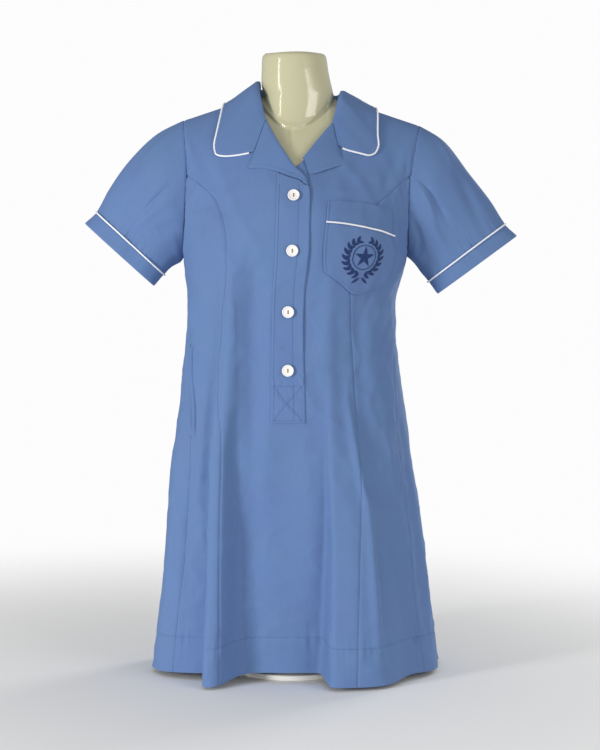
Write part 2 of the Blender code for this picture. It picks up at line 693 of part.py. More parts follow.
def build_collar(cloth, white):
    turned_piece("lapel_right", LAPEL_RIGHT, cloth, "last")
    turned_piece("lapel_left", LAPEL_LEFT, cloth, "first")
    rows = smoothed(COLLAR, 2)
    outer = turned_piece("collar", rows, cloth, "first last")
    out = normals(*over(rows["edge_girth"], rows["edge_level"]))
    piping("collar_piping", edge_path(outer[:, -1], out, -1)[1:-1], white)


def pocket_grid(low, high, shares):
    """Girths and levels over the pocket, between two of its named lines."""
    across = np.array([0, 0.10, 0.20, 0.32, 0.43, 0.54, 0.65, 0.75, 0.84, 0.92, 1.0])[:, None]
    bottom = read(POCKET_LEVELS, low, across, "share")
    top = read(POCKET_LEVELS, high, across, "share")
    level = bottom + (top - bottom) * shares
    foot = read(POCKET_LEVELS, "foot", across, "share")
    head = read(POCKET_LEVELS, "top", across, "share")
    height = (level - foot) / (head - foot)
    right = read(POCKET_SIDES, "right", height, "share")
    left = read(POCKET_SIDES, "left", height, "share")
    return right + (left - right) * across, level


def build_pocket(cloth, white):
    lift = WALL + LAYER_GAP
    shares = np.linspace(0, 1, 7)
    girth, level = pocket_grid("foot", "seam", shares)
    patch("chest_pocket", girth, level, cloth, "top", lift=lift + POCKET_FULLNESS * (1 - shares)[None, :, None])
    girth, level = pocket_grid("seam", "top", np.linspace(0, 1, 3))
    lift = lift + BAND_LIFT
    patch("pocket_band", girth, level, cloth, "bottom", lift=lift)
    out = normals(girth[:, 0], level[:, 0])
    path = body(girth[:, 0], level[:, 0]) + (lift + PIPING_RADIUS + SEAM_GAP) * out
    piping("pocket_piping", path, white)


def armhole(side):
    """Points and outward directions round an armhole, from its top down the front and up the back."""
    levels = np.array(CHEST_ROWS)
    down, up = levels[::-1], levels[1:-1]
    here = {"right": -1.0, "left": 1.0}[side]
    level = np.concatenate([down, up])
    face = np.concatenate([np.full(len(down), -1.0), np.full(len(up), 1.0)])
    points = body(here, level, face)
    out = leaning(np.full(len(level), here), level, face)
    ends = [0, len(down) - 1]
    out[ends] = unit(out[ends] + leaning(np.full(2, here), level[ends], -face[ends]))
    rise = (level - ARMPIT) / (SHOULDER - ARMPIT)
    turn = np.arccos(np.clip(2 * rise - 1, -1, 1)) * -face
    return points, out, turn


def sleeve_grid(side, shares):
    """Outer points of a sleeve: ovals between its upper and lower lines, which start on the armhole."""
    rows = {"right": SLEEVE_RIGHT, "left": SLEEVE_LEFT}[side]
    sign = {"right": -1.0, "left": 1.0}[side]
    start, start_out, turn = armhole(side)

    def oval(share):
        values = {name: read(rows, name, share, "share") for name in rows}
        upper = np.stack([sign * values["outer_x"], values["outer_z"]], -1)
        lower = np.stack([sign * values["inner_x"], values["inner_z"]], -1)
        middle, reach = (upper + lower) / 2, (upper - lower) / 2
        depth = np.where(turn[:, None] >= 0, values["front"], values["back"])
        flat = middle + reach * np.cos(turn)[:, None, None]
        y = -depth * np.sin(turn)[:, None] - FORM_FORWARD
        return np.stack([flat[..., 0], y, flat[..., 1]], -1)

    shares = np.array(shares, float)
    points = oval(shares)
    fade = (1 - shares) ** 2 * (1 + 2 * shares)
    points += (start[:, None] - oval(np.array([0.0]))) * fade[:, None]
    if side == "right":
        points, start_out = points[::-1], start_out[::-1]
    out = grid_normals(points, ring=True)
    meet = np.sum(out[:, 0] * start_out, axis=-1, keepdims=True)
    out[:, 0] = unit(start_out + out[:, 0] * np.clip(1 - meet, 0, 1))
    return points, out, sign


def build_sleeve(side, cloth, white):
    shares = SLEEVE_SHARES + (CUFF_SHARE, (1 + CUFF_SHARE) / 2, 1)
    points, out, sign = sleeve_grid(side, shares)
    seam = len(SLEEVE_SHARES)
    under_arm = np.clip(-out[:, 0, 2], 0, 1)
    points[:, 0] += SEAM_GAP * np.stack([np.full(len(out), sign), np.zeros(len(out)), under_arm], -1)
    inner = points - WALL * out
    for name, rows, seams in (
        (f"sleeve_{side}", slice(0, seam + 1), "top"),
        (f"cuff_{side}", slice(seam, None), "bottom"),
    ):
        wall(name, draw_in(points[:, rows], seams), draw_in(inner[:, rows], seams), cloth, ring=True)
    path = points[:, seam] + (PIPING_RADIUS + SEAM_GAP) * out[:, seam]
    piping(f"cuff_piping_{side}", path, white, closed=True)


def turned(name, profile, centre, axis, finish, sides=24):
    """A solid turned about an axis from radius and height pairs, bottom to top."""
    axis = unit(np.array(axis, float))
    across = unit(np.cross(axis, [0, 1, 0] if abs(axis[2]) > 0.9 else [0, 0, 1]))
    upward = np.cross(axis, across)
    turn = np.linspace(0, 2 * math.pi, sides, endpoint=False)
    ring = np.cos(turn)[:, None] * across + np.sin(turn)[:, None] * upward
    points = np.concatenate([centre + radius * ring + height * axis for radius, height in profile])
    faces = []
    for i in range(len(profile) - 1):
        for k in range(sides):
            a, b = i * sides + k, i * sides + (k + 1) % sides
            faces.append((a, b, b + sides, a + sides))
    last = (len(profile) - 1) * sides
    faces += [tuple(range(sides))[::-1], tuple(last + k for k in range(sides))]
    return place(name, points, faces, finish, 30)


def build_buttons(shell):
    lift = WALL + LAYER_GAP + 0.0007
    rim = BUTTON_THICKNESS
    profile = (
        (BUTTON_RADIUS * 0.80, 0),
        (BUTTON_RADIUS, rim * 0.50),
        (BUTTON_RADIUS * 0.92, rim),
        (BUTTON_RADIUS * 0.64, rim * 0.75),
    )
    for number, level in enumerate(BUTTON_LEVELS, 1):
        out = normals(BUTTON_GIRTH, level)
        turned(f"button_{number}", profile, body(BUTTON_GIRTH, level) + lift * out, out, shell, sides=14)


def under_cloth(x, height, front):
    """How far from its axis the form may reach at a place and stay just inside the dress."""
    level = np.full(x.shape, height + FORM_EASE)
    for _ in range(20):
        level = height + FORM_EASE + chest_rise(level) * slope_drop(x)
    inside = np.where(level < SHOULDER, 1.0, 0.0)
    level = np.minimum(level, SHOULDER)
    across = np.abs(x - read(SECTIONS, "sway", level)) / read(SECTIONS, "half_width", level)
    angle = np.arcsin(np.clip(across, 0, 1) ** (1 / SQUARENESS))
    return np.clip(arc(angle, level, front)[1] - FORM_EASE, 0, 1) * inside


def form_ring(height, turn):
    """One ring of the torso form: the wider of its trunk and its neck in every direction."""
    dense = np.linspace(0, 2 * math.pi, 721)
    x = np.sin(dense)
    x = read(FORM_SECTIONS, "half_width", height) * np.sign(x) * np.abs(x) ** FORM_ROUNDNESS
    front = np.cos(dense) > 0
    depth = np.where(front, read(FORM_SECTIONS, "front", height), read(FORM_SECTIONS, "back", height))
    depth = np.minimum(depth * np.abs(np.cos(dense)) ** FORM_ROUNDNESS, under_cloth(x, height, front))
    x = np.where(depth > 0, x, 0)
    y = np.where(front, -depth, depth) + NECK_FORWARD
    heading = np.arctan2(x, -y)
    trunk = np.interp(turn, heading, np.hypot(x, y), period=2 * math.pi)
    reach = trunk
    if height > NECK_SECTIONS["level"][0]:
        left, right = read(NECK_SECTIONS, "left", height), read(NECK_SECTIONS, "right", height)
        wide = np.where(turn < math.pi, left, right)
        deep = read(NECK_SECTIONS, "depth", height)
        neck = 1 / np.hypot(np.sin(turn) / wide, np.cos(turn) / deep)
        reach = (trunk**NECK_BLEND + neck**NECK_BLEND) ** (1 / NECK_BLEND)
    y = -reach * np.cos(turn) - NECK_FORWARD - FORM_FORWARD
    slope = NECK_SLOPE * np.clip((height - NECK_SLOPE_START) / (NECK_TOP - NECK_SLOPE_START), 0, 1)
    return np.stack([reach * np.sin(turn), y, height - slope * reach * np.cos(turn)], -1)


def build_form(plastic):
    heights = (
        (FORM_BOTTOM, 0.300, 0.330, 0.370, 0.430, 0.490, 0.550, 0.600, 0.640, 0.675, 0.710, 0.745)
        + (0.780, 0.810, 0.835, 0.855, 0.868, 0.879, 0.888, 0.895, 0.901, 0.907, 0.914, 0.922, 0.932)
        + (0.944, 0.9620, 0.9682, NECK_TOP)
    )
    sides = 36
    turn = np.linspace(0, 2 * math.pi, sides, endpoint=False)
    turn = turn + FORM_CROWDING * np.sin(2 * turn)
    points = np.concatenate([form_ring(height, turn) for height in heights])
    faces = []
    for i in range(len(heights) - 1):
        for k in range(sides):
            a, b = i * sides + k, i * sides + (k + 1) % sides
            faces += [(a, b, b + sides), (a, b + sides, a + sides)]
    last = (len(heights) - 1) * sides
    faces += [tuple(range(sides))[::-1], tuple(last + k for k in range(sides))]
    place("torso_form", points, faces, plastic, 50)


def build_stand(coated, steel):
    floor = np.zeros(3)
    up = (0, 0, 1)
    edge = 0.002
    base = (
        (BASE_RADIUS, 0),
        (BASE_RADIUS, BASE_THICKNESS - edge),
        (BASE_RADIUS - edge, BASE_THICKNESS),
        (BOSS_RADIUS, BASE_THICKNESS),
        (BOSS_RADIUS, BOSS_TOP - edge),
        (BOSS_RADIUS - edge, BOSS_TOP),
    )
    turned("stand_base", base, floor, up, coated, sides=40)
    under_form = FORM_BOTTOM - SEAM_GAP
    pole = (
        (POLE_RADIUS, BOSS_TOP + SEAM_GAP),
        (POLE_RADIUS, under_form - FLANGE_THICKNESS),
        (FLANGE_RADIUS, under_form - FLANGE_THICKNESS),
        (FLANGE_RADIUS, under_form),
    )
    turned("stand_pole", pole, floor, up, steel, sides=24)


def main():
    for item in list(bpy.data.objects):
        bpy.data.objects.remove(item, do_unlink=True)
    cloth = material("poplin", (0.125, 0.216, 0.477), 0.8)
    white = material("white_piping", (0.80, 0.81, 0.84), 0.7)
    shell = material("button_shell", (0.85, 0.85, 0.86), 0.25)
    plastic = material("moulded_plastic", (0.66, 0.62, 0.46), 0.25)
    coated = material("powder_coat", (0.80, 0.79, 0.76), 0.5)
    steel = material("satin_steel", (0.55, 0.55, 0.56), 0.35, 1.0)
    front_centre(cloth)
    for side in ("right", "left"):
        side_front(side, cloth)
        build_sleeve(side, cloth, white)
    back(cloth)
    placket_under(cloth)
    placket_over(cloth)
    build_collar(cloth, white)
    build_pocket(cloth, white)
    build_buttons(shell)
    build_form(plastic)
    build_stand(coated, steel)


main()
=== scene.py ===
import math

import bpy
import numpy as np
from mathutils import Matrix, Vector


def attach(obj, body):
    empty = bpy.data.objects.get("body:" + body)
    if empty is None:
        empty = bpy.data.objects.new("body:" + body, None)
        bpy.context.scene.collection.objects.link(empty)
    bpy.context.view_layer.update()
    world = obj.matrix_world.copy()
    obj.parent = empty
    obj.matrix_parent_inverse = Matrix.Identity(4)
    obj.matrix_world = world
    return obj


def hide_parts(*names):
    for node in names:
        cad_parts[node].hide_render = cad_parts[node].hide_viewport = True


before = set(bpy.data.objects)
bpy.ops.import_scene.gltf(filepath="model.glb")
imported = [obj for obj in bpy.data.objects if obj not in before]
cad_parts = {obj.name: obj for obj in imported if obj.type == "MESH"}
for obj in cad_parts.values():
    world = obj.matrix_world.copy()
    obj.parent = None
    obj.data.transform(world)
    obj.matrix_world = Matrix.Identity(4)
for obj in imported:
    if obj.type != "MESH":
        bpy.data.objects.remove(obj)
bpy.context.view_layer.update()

# Cloth, in metres
WALL = 0.0015
SEAM_GAP = 0.0003
LAYER_GAP = 0.0005
PIPING_RADIUS = 0.0014
# The over strip of the placket and the pocket lie this far above the panels
UPPER_LIFT = WALL + LAYER_GAP

# A place on the dress is a girth and a level. Girth is 0 at the centre front, -1 at the wearer's right
# side, 1 at the left and 2 at the centre back. Level is the height before the shoulders slope.
SIGNS = {"right": -1.0, "left": 1.0}
ARMPIT = 0.655
SHOULDER = 0.921
# Fall of the shoulders for each metre sideways, and how softly it starts
SHOULDER_SLOPE = 0.355
SHOULDER_ROUNDING = 0.030
# How far the shoulder seam lies before the middle, and the armhole's depth before and behind it
SEAM_FORWARD = 0.004
ARMHOLE_FRONT = 0.054
ARMHOLE_BACK = 0.062
# Power that shapes the rings, the one it grows to in depth at the chest, and how soon
SQUARENESS = 0.87
CHEST_FLATNESS = 1.6
FLATNESS_REACH = 0.45
# How closely the cloth beside the armpit keeps to the side
ARMHOLE_PULL = 2.5
# Height of the hem's line, how much more it lifts at the centre front and back, and how far up
HEM_HEIGHT = 0.0065
HEM_LIFT = 0.0085
HEM_REACH = 0.50
# How far the form's axis lies before the pole's
FORM_FORWARD = 0.020
# A fold starts at this share of its width, and this power sets how it grows on its way down
FOLD_START = 0.45
FOLD_GROWTH = 1.25
# Steps along girth and level that give a direction
GIRTH_STEP = 0.003
LEVEL_STEP = 0.001

# The stand, and the form's lowest and highest ring
BASE_RADIUS = 0.095
BASE_THICKNESS = 0.008
BOSS_RADIUS = 0.020
BOSS_TOP = 0.034
POLE_RADIUS = 0.0125
FLANGE_RADIUS = 0.035
FLANGE_THICKNESS = 0.005
FORM_BOTTOM = 0.292
NECK_TOP = 0.9722

BUTTON_RADIUS = 0.009
BUTTON_THICKNESS = 0.003
# The floor of a button's well, as a share of its thickness
BUTTON_WELL = 0.64


def table(columns, *rows):
    """Rows of numbers under named columns, as one array for each column."""
    return dict(zip(columns.split(), np.array(rows, float).T))


def each(rows):
    """The rows of a table, one after another."""
    return zip(*rows.values())


# Half width, sideways shift and depth before and behind the form's axis of each ring of the dress
SECTIONS = table(
    "level half_width sway front back",
    (0.000, 0.2245, 0.0030, 0.086, 0.150),
    (0.063, 0.2184, 0.0020, 0.087, 0.145),
    (0.158, 0.2081, 0.0015, 0.090, 0.137),
    (0.253, 0.1994, 0.0000, 0.094, 0.129),
    (0.348, 0.1875, -0.0035, 0.099, 0.120),
    (0.420, 0.1773, -0.0035, 0.103, 0.110),
    (0.491, 0.1693, -0.0047, 0.106, 0.100),
    (0.538, 0.1646, -0.0047, 0.109, 0.095),
    (0.586, 0.1646, -0.0032, 0.115, 0.095),
    (0.633, 0.1725, 0.0008, 0.123, 0.099),
    (0.655, 0.1758, 0.0025, 0.127, 0.101),
    (0.700, 0.1740, 0.0035, 0.129, 0.103),
    (0.740, 0.1725, 0.0045, 0.121, 0.104),
    (0.780, 0.1722, 0.0055, 0.104, 0.100),
    (0.820, 0.1740, 0.0075, 0.083, 0.091),
    (0.860, 0.1780, 0.0095, 0.060, 0.077),
    (0.880, 0.1805, 0.0103, 0.047, 0.066),
    (0.895, 0.1825, 0.0109, 0.037, 0.055),
    (0.907, 0.1838, 0.0113, 0.0275, 0.041),
    (0.915, 0.1845, 0.0115, 0.018, 0.025),
    (0.921, 0.1848, 0.0115, 0.004, -0.004),
)

# Folds of the skirt: the level each starts at, the girths where it rises and falls at its start and at
# the hem, how widely it rises and falls, how far it stands out at the hem, dips there and leans
FOLDS = table(
    "top start_rise start_fall hem_rise hem_fall rise_width fall_width height dip lean",
    (0.640, -0.430, -0.330, -0.352, -0.235, 0.030, 0.070, 0.060, 0.0085, -0.004),
    (0.470, 0.173, 0.440, 0.103, 0.430, 0.030, 0.220, 0.062, 0.0085, -0.004),
    (0.520, 1.130, 1.330, 1.160, 1.400, 0.120, 0.140, 0.026, 0.003, 0.004),
    (0.560, 1.600, 1.760, 1.580, 1.800, 0.110, 0.130, 0.030, 0.004, -0.006),
    (0.540, -1.900, -1.740, -1.930, -1.700, 0.130, 0.110, 0.028, 0.004, 0.006),
    (0.500, -1.470, -1.300, -1.500, -1.230, 0.130, 0.130, 0.028, 0.004, -0.004),
)

# Girth of the curved seam from each armhole to the hem, on the wearer's right and left
PRINCESS_SEAMS = table(
    "level right left",
    (0.000, 0.265, 0.222),
    (0.060, 0.275, 0.235),
    (0.120, 0.287, 0.250),
    (0.190, 0.300, 0.269),
    (0.265, 0.310, 0.296),
    (0.320, 0.313, 0.318),
    (0.375, 0.328, 0.328),
    (0.440, 0.378, 0.336),
    (0.505, 0.392, 0.343),
    (0.570, 0.386, 0.333),
    (0.620, 0.366, 0.315),
    (0.655, 0.366, 0.317),
    (0.700, 0.400, 0.374),
    (0.740, 0.472, 0.482),
    (0.760, 0.540, 0.590),
    (0.776, 0.627, 0.672),
    (0.790, 0.740, 0.770),
    (0.800, 0.900, 0.890),
    (0.806, 1.000, 1.000),
)

# Girth of each side seam
SIDE_SEAMS = table(
    "level right left",
    (0.000, 0.620, 0.670),
    (0.120, 0.600, 0.645),
    (0.260, 0.595, 0.665),
    (0.360, 0.600, 0.690),
    (0.460, 0.690, 0.740),
    (0.515, 0.767, 0.800),
    (0.553, 0.850, 0.870),
    (0.600, 0.945, 0.945),
    (0.655, 1.000, 1.000),
)

# Girth of the neckline on each side, from the bottom of the V to the shoulder seam
NECKLINE = table(
    "level right left",
    (0.780, 0.016, -0.004),
    (0.813, 0.079, 0.060),
    (0.861, 0.157, 0.150),
    (0.880, 0.176, 0.162),
    (0.900, 0.190, 0.170),
    (0.921, 0.208, 0.180),
)
# The back's neckline: its level at the centre, how far it goes to each side, and where the rows of the
# back start to bend down to it
BACK_NECK_LEVEL = 0.902
BACK_NECK_WIDTH = 0.194
BACK_NECK_START = 0.878

# The front opening, how far the over strip laps it, and how its free edge rounds off by the lapel
SLOT_RIGHT = -0.074
SLOT_LEFT = 0.048
SLOT_BOTTOM = 0.400
PLACKET_LAP = 0.010
PLACKET_ROUNDING = 0.030
ROUNDING_START = 0.736
ROUNDING_LENGTH = 0.017
# Above this level both strips climb to edges of their own
TURN_LEVEL = 0.742
# The side fronts end a little below where the curved seams meet the armholes
SIDE_FRONT_TOP = 0.8005
# The placket's stitching: its distance from the over strip's right and left edges, where it ends, and the
# crossed box at its foot
PLACKET_INSETS = (0.0035, 0.0125)
PLACKET_STITCH_TOP = 0.7530
BOX_LOW, BOX_HIGH = SLOT_BOTTOM - 0.003, 0.450
BOX_RIGHT, BOX_LEFT = SLOT_RIGHT - PLACKET_LAP + 0.013, SLOT_LEFT + PLACKET_LAP / 2 - 0.013
# The side pocket's mouth: its ends, and how far from the seam each line beside it runs and how deep
MOUTH_LOW, MOUTH_HIGH = 0.372, 0.512
MOUTH_LINES = ((0.0045, -0.0009), (0.0110, -0.0017))

# A girth this far past the side keeps the armhole's back edge on the back arc
PAST_SIDE = 1e-6

# The collar, from its front end on the wearer's right round the back to the left: girth and level of the
# neckline and of its outer edge, with levels past the shoulder seam counted on down the back, the height
# of its roll, how upright the roll stands, and how far the outer edge is held off what lies under it
COLLAR = table(
    "neck_girth neck_level edge_girth edge_level roll upright under",
    (-0.157, 0.8610, -0.220, 0.8140, 0.0045, 0.0, 0.0000),
    (-0.163, 0.8655, -0.300, 0.8150, 0.0050, 0.0, 0.0002),
    (-0.169, 0.8710, -0.400, 0.8180, 0.0060, 0.0, 0.0004),
    (-0.176, 0.8800, -0.480, 0.8270, 0.0080, 0.0, 0.0006),
    (-0.184, 0.8920, -0.492, 0.8420, 0.0110, 0.1, 0.0008),
    (-0.194, 0.9050, -0.470, 0.8630, 0.0150, 0.2, 0.0020),
    (-0.204, 0.9170, -0.443, 0.8890, 0.0180, 0.3, 0.0026),
    (-0.208, 0.9210, -0.420, 0.9110, 0.0200, 0.4, 0.0028),
    (-0.200, 0.9260, -0.400, 0.9240, 0.0220, 0.6, 0.0026),
    (-0.170, 0.9330, -0.360, 0.9440, 0.0250, 0.7, 0.0010),
    (-0.110, 0.9380, -0.220, 0.9610, 0.0270, 0.8, 0.0006),
    (-0.040, 0.9398, -0.080, 0.9725, 0.0280, 0.8, 0.0006),
    (0.040, 0.9398, 0.080, 0.9725, 0.0280, 0.8, 0.0006),
    (0.105, 0.9380, 0.220, 0.9610, 0.0270, 0.8, 0.0006),
    (0.155, 0.9330, 0.350, 0.9440, 0.0215, 0.7, 0.0010),
    (0.177, 0.9260, 0.390, 0.9240, 0.0165, 0.6, 0.0026),
    (0.180, 0.9210, 0.402, 0.9110, 0.0140, 0.4, 0.0028),
    (0.176, 0.9130, 0.412, 0.8890, 0.0150, 0.3, 0.0026),
    (0.171, 0.9020, 0.425, 0.8630, 0.0150, 0.2, 0.0020),
    (0.166, 0.8900, 0.440, 0.8440, 0.0110, 0.1, 0.0008),
    (0.161, 0.8790, 0.425, 0.8300, 0.0080, 0.0, 0.0006),
    (0.156, 0.8700, 0.365, 0.8220, 0.0060, 0.0, 0.0004),
    (0.152, 0.8640, 0.270, 0.8225, 0.0050, 0.0, 0.0002),
    (0.149, 0.8600, 0.184, 0.8260, 0.0045, 0.0, 0.0000),
)

# The lapels, from the bottom of the V up to the gorge on the right, and down again on the left
LAPEL_RIGHT = table(
    "neck_girth neck_level edge_girth edge_level roll under",
    (0.041, 0.7508, 0.030, 0.7530, 0.0008, 0.0021),
    (0.026, 0.7620, 0.006, 0.7600, 0.0015, 0.0021),
    (-0.016, 0.7800, -0.030, 0.7645, 0.0025, 0.0020),
    (-0.046, 0.7960, -0.090, 0.7740, 0.0035, 0.0012),
    (-0.079, 0.8130, -0.165, 0.7830, 0.0040, 0.0004),
    (-0.110, 0.8300, -0.247, 0.7880, 0.0042, 0.0),
    (-0.136, 0.8460, -0.234, 0.8010, 0.0045, 0.0),
    (-0.1565, 0.8605, -0.220, 0.8130, 0.0045, 0.0),
)
LAPEL_LEFT = table(
    "neck_girth neck_level edge_girth edge_level roll under",
    (0.1485, 0.8590, 0.185, 0.8245, 0.0045, 0.0),
    (0.118, 0.8440, 0.208, 0.8110, 0.0045, 0.0),
    (0.092, 0.8300, 0.232, 0.7980, 0.0042, 0.0),
    (0.060, 0.8130, 0.150, 0.7830, 0.0036, 0.0),
    (0.038, 0.8010, 0.078, 0.7720, 0.0028, 0.0),
    (0.022, 0.7925, 0.046, 0.7690, 0.0020, 0.0),
)

# Section of a rolled edge, from its seam over the roll to its outer edge: share of the way across, how
# far it leans into the neck, share of the roll's height, and lift of its outer face off the dress
ROLLED = table(
    "across inward height lift",
    (0.00, 0.0019, 0.00, 0.0006),
    (0.00, 0.0026, 0.55, 0.0012),
    (0.00, 0.0020, 0.90, 0.0022),
    (0.05, 0.0000, 1.00, 0.0026),
    (0.20, 0.0000, 0.80, 0.0025),
    (0.45, 0.0000, 0.46, 0.0023),
    (0.72, 0.0000, 0.18, 0.0021),
    (1.00, 0.0000, 0.00, 0.0020),
)

# The chest pocket on the wearer's left: girths of its sides by share of its height, and levels of its
# foot, its band's lower edge and its top by share of its width
POCKET_SIDES = table(
    "share right left",
    (0.00, 0.138, 0.655),
    (0.30, 0.122, 0.645),
    (0.70, 0.134, 0.618),
    (1.00, 0.141, 0.628),
)
POCKET_LEVELS = table(
    "share foot seam top",
    (0.00, 0.622, 0.6960, 0.7275),
    (0.20, 0.605, 0.6955, 0.7325),
    (0.43, 0.588, 0.6930, 0.7335),
    (0.75, 0.599, 0.6880, 0.7330),
    (0.90, 0.605, 0.6845, 0.7295),
    (1.00, 0.616, 0.6830, 0.7265),
)

# How far the pocket's foot stands off, and its band lies above its body
POCKET_FULLNESS = 0.0012
BAND_LIFT = 0.0002

BUTTON_LEVELS = (0.7335, 0.652, 0.5615, 0.4735)
BUTTON_GIRTH = -0.009

# Each sleeve, from armhole to hem: its upper and lower line, and its depth before and behind them
SLEEVE_RIGHT = table(
    "share outer_x outer_z inner_x inner_z front back",
    (0.00, 0.1733, 0.8690, 0.1733, 0.6550, 0.054, 0.062),
    (0.22, 0.2140, 0.8480, 0.1790, 0.6495, 0.056, 0.060),
    (0.50, 0.2610, 0.8030, 0.1870, 0.6440, 0.050, 0.052),
    (0.75, 0.2940, 0.7570, 0.1965, 0.6360, 0.042, 0.043),
    (0.88, 0.3119, 0.7250, 0.2058, 0.6269, 0.037, 0.038),
    (1.00, 0.3309, 0.7070, 0.2216, 0.6079, 0.036, 0.037),
)
SLEEVE_LEFT = table(
    "share outer_x outer_z inner_x inner_z front back",
    (0.00, 0.1963, 0.8610, 0.1783, 0.6550, 0.054, 0.062),
    (0.22, 0.2350, 0.8370, 0.1850, 0.6495, 0.056, 0.060),
    (0.50, 0.2770, 0.7850, 0.1925, 0.6420, 0.050, 0.052),
    (0.75, 0.3120, 0.7400, 0.2015, 0.6290, 0.042, 0.043),
    (0.88, 0.3332, 0.7060, 0.2128, 0.6158, 0.038, 0.039),
    (1.00, 0.3525, 0.6870, 0.2272, 0.5952, 0.037, 0.038),
)
CUFF_SHARE = 0.88

# The torso form: half width and depth before and behind its axis at each height
FORM_SECTIONS = table(
    "level half_width front back",
    (FORM_BOTTOM, 0.140, 0.075, 0.085),
    (0.300, 0.148, 0.082, 0.092),
    (0.330, 0.156, 0.087, 0.097),
    (0.370, 0.160, 0.090, 0.099),
    (0.430, 0.154, 0.088, 0.093),
    (0.500, 0.140, 0.083, 0.082),
    (0.550, 0.138, 0.084, 0.078),
    (0.610, 0.148, 0.097, 0.084),
    (0.670, 0.160, 0.118, 0.095),
    (0.710, 0.164, 0.125, 0.100),
    (0.760, 0.166, 0.115, 0.103),
    (NECK_TOP, 0.166, 0.110, 0.103),
)
# Room between form and cloth, and the power that shapes the form's rings
FORM_EASE = 0.0032
FORM_ROUNDNESS = 0.9

# Its neck, an oval ahead of the axis that runs down into the trunk: half widths on the wearer's right and
# left, where it slopes into the shoulder, and half depth
NECK_SECTIONS = table(
    "level right left depth",
    (0.780, 0.0300, 0.0300, 0.020),
    (0.850, 0.0470, 0.0500, 0.0440),
    (0.893, 0.0470, 0.0620, 0.0459),
    (0.903, 0.0460, 0.0630, 0.0463),
    (0.912, 0.0482, 0.0612, 0.0467),
    (0.922, 0.0508, 0.0590, 0.0471),
    (0.932, 0.0512, 0.0566, 0.0475),
    (0.944, 0.0508, 0.0542, 0.0479),
    (0.9620, 0.0503, 0.0516, 0.0480),
    (0.9682, 0.0491, 0.0501, 0.0467),
    (NECK_TOP, 0.0450, 0.0458, 0.0425),
)
NECK_FORWARD = 0.012
# The neck's top slopes down to the front, more and more from the level where the slope starts
NECK_SLOPE = 0.16
NECK_SLOPE_START = 0.930
# How sharply the neck meets the trunk
NECK_BLEND = 30

# Levels of the armhole's points
CHEST_ROWS = (
    ARMPIT, 0.659, 0.672, 0.700, 0.722, 0.742, 0.760, 0.776, 0.790, 0.800,
    0.806, 0.830, 0.855, 0.878, 0.897, 0.910, 0.9175, SHOULDER,
)


def follow(stations, values, where):
    """Value at each place of the smooth curve through the stations, which never overshoots them."""
    gaps = np.diff(stations)
    climbs = np.diff(values) / gaps
    before, after = climbs[:-1], climbs[1:]
    turns = before * after <= 0
    middle = np.where(turns, 0, 2 * before * after / np.where(turns, 1, before + after))
    slopes = np.concatenate([climbs[:1], middle, climbs[-1:]])
    where = np.asarray(where, float)
    i = np.clip(np.searchsorted(stations, where, side="right") - 1, 0, len(gaps) - 1)
    t = ramp((where - stations[i]) / gaps[i])
    ease = t * t * (3 - 2 * t)
    leave = (t**3 - 2 * t**2 + t) * gaps[i] * slopes[i]
    arrive = (t**3 - t**2) * gaps[i] * slopes[i + 1]
    return (1 - ease) * values[i] + ease * values[i + 1] + leave + arrive


def read(rows, column, where, along="level"):
    """Values of a table's column at places along it."""
    return follow(rows[along], rows[column], where)


def unit(vectors):
    """The same directions with a length of 1."""
    return vectors / np.linalg.norm(vectors, axis=-1, keepdims=True)


def wrap(girth):
    """A girth counted from -2 to 2."""
    return (girth + 2) % 4 - 2


def ramp(value):
    """The value, held between 0 and 1."""
    return np.clip(value, 0, 1)


def bell(distance, width):
    """A smooth bump: 1 where the distance is 0, and next to nothing from two widths on."""
    return np.exp(-((distance / width) ** 2))


def slope_drop(x):
    """How far the line of the shoulders lies below its top, at each distance from the middle."""
    return SHOULDER_SLOPE * (np.hypot(x, SHOULDER_ROUNDING) - SHOULDER_ROUNDING)


def chest_rise(level):
    """Share of the way up from the armpits to the shoulder seam."""
    return ramp((level - ARMPIT) / (SHOULDER - ARMPIT))


def depth_of(rows, level, front):
    """Depth of a ring before or behind its axis."""
    return np.where(front, read(rows, "front", level), read(rows, "back", level))


def arc(angle, level, front):
    """Share of the depth kept at an angle round a ring, and the distance from the form's axis there.

    The depth falls with a power of the cosine. Above the armpits the armhole's edge, half an oval, adds
    its own depth more and more towards the side.
    """
    rise = chest_rise(level)
    grown = ramp(rise / FLATNESS_REACH)
    flatness = SQUARENESS + (CHEST_FLATNESS - SQUARENESS) * grown * grown * (3 - 2 * grown)
    along = np.abs(np.cos(angle)) ** flatness
    arch = 2 * np.sqrt(rise * (1 - rise))
    edge = np.where(front, ARMHOLE_FRONT, ARMHOLE_BACK) * arch
    edge = edge + np.where(front, 1, -1) * SEAM_FORWARD * rise
    depth = depth_of(SECTIONS, level, front)
    return along, depth * along + edge * (1 - along) ** (1 + ARMHOLE_PULL * (1 - rise) ** 4)


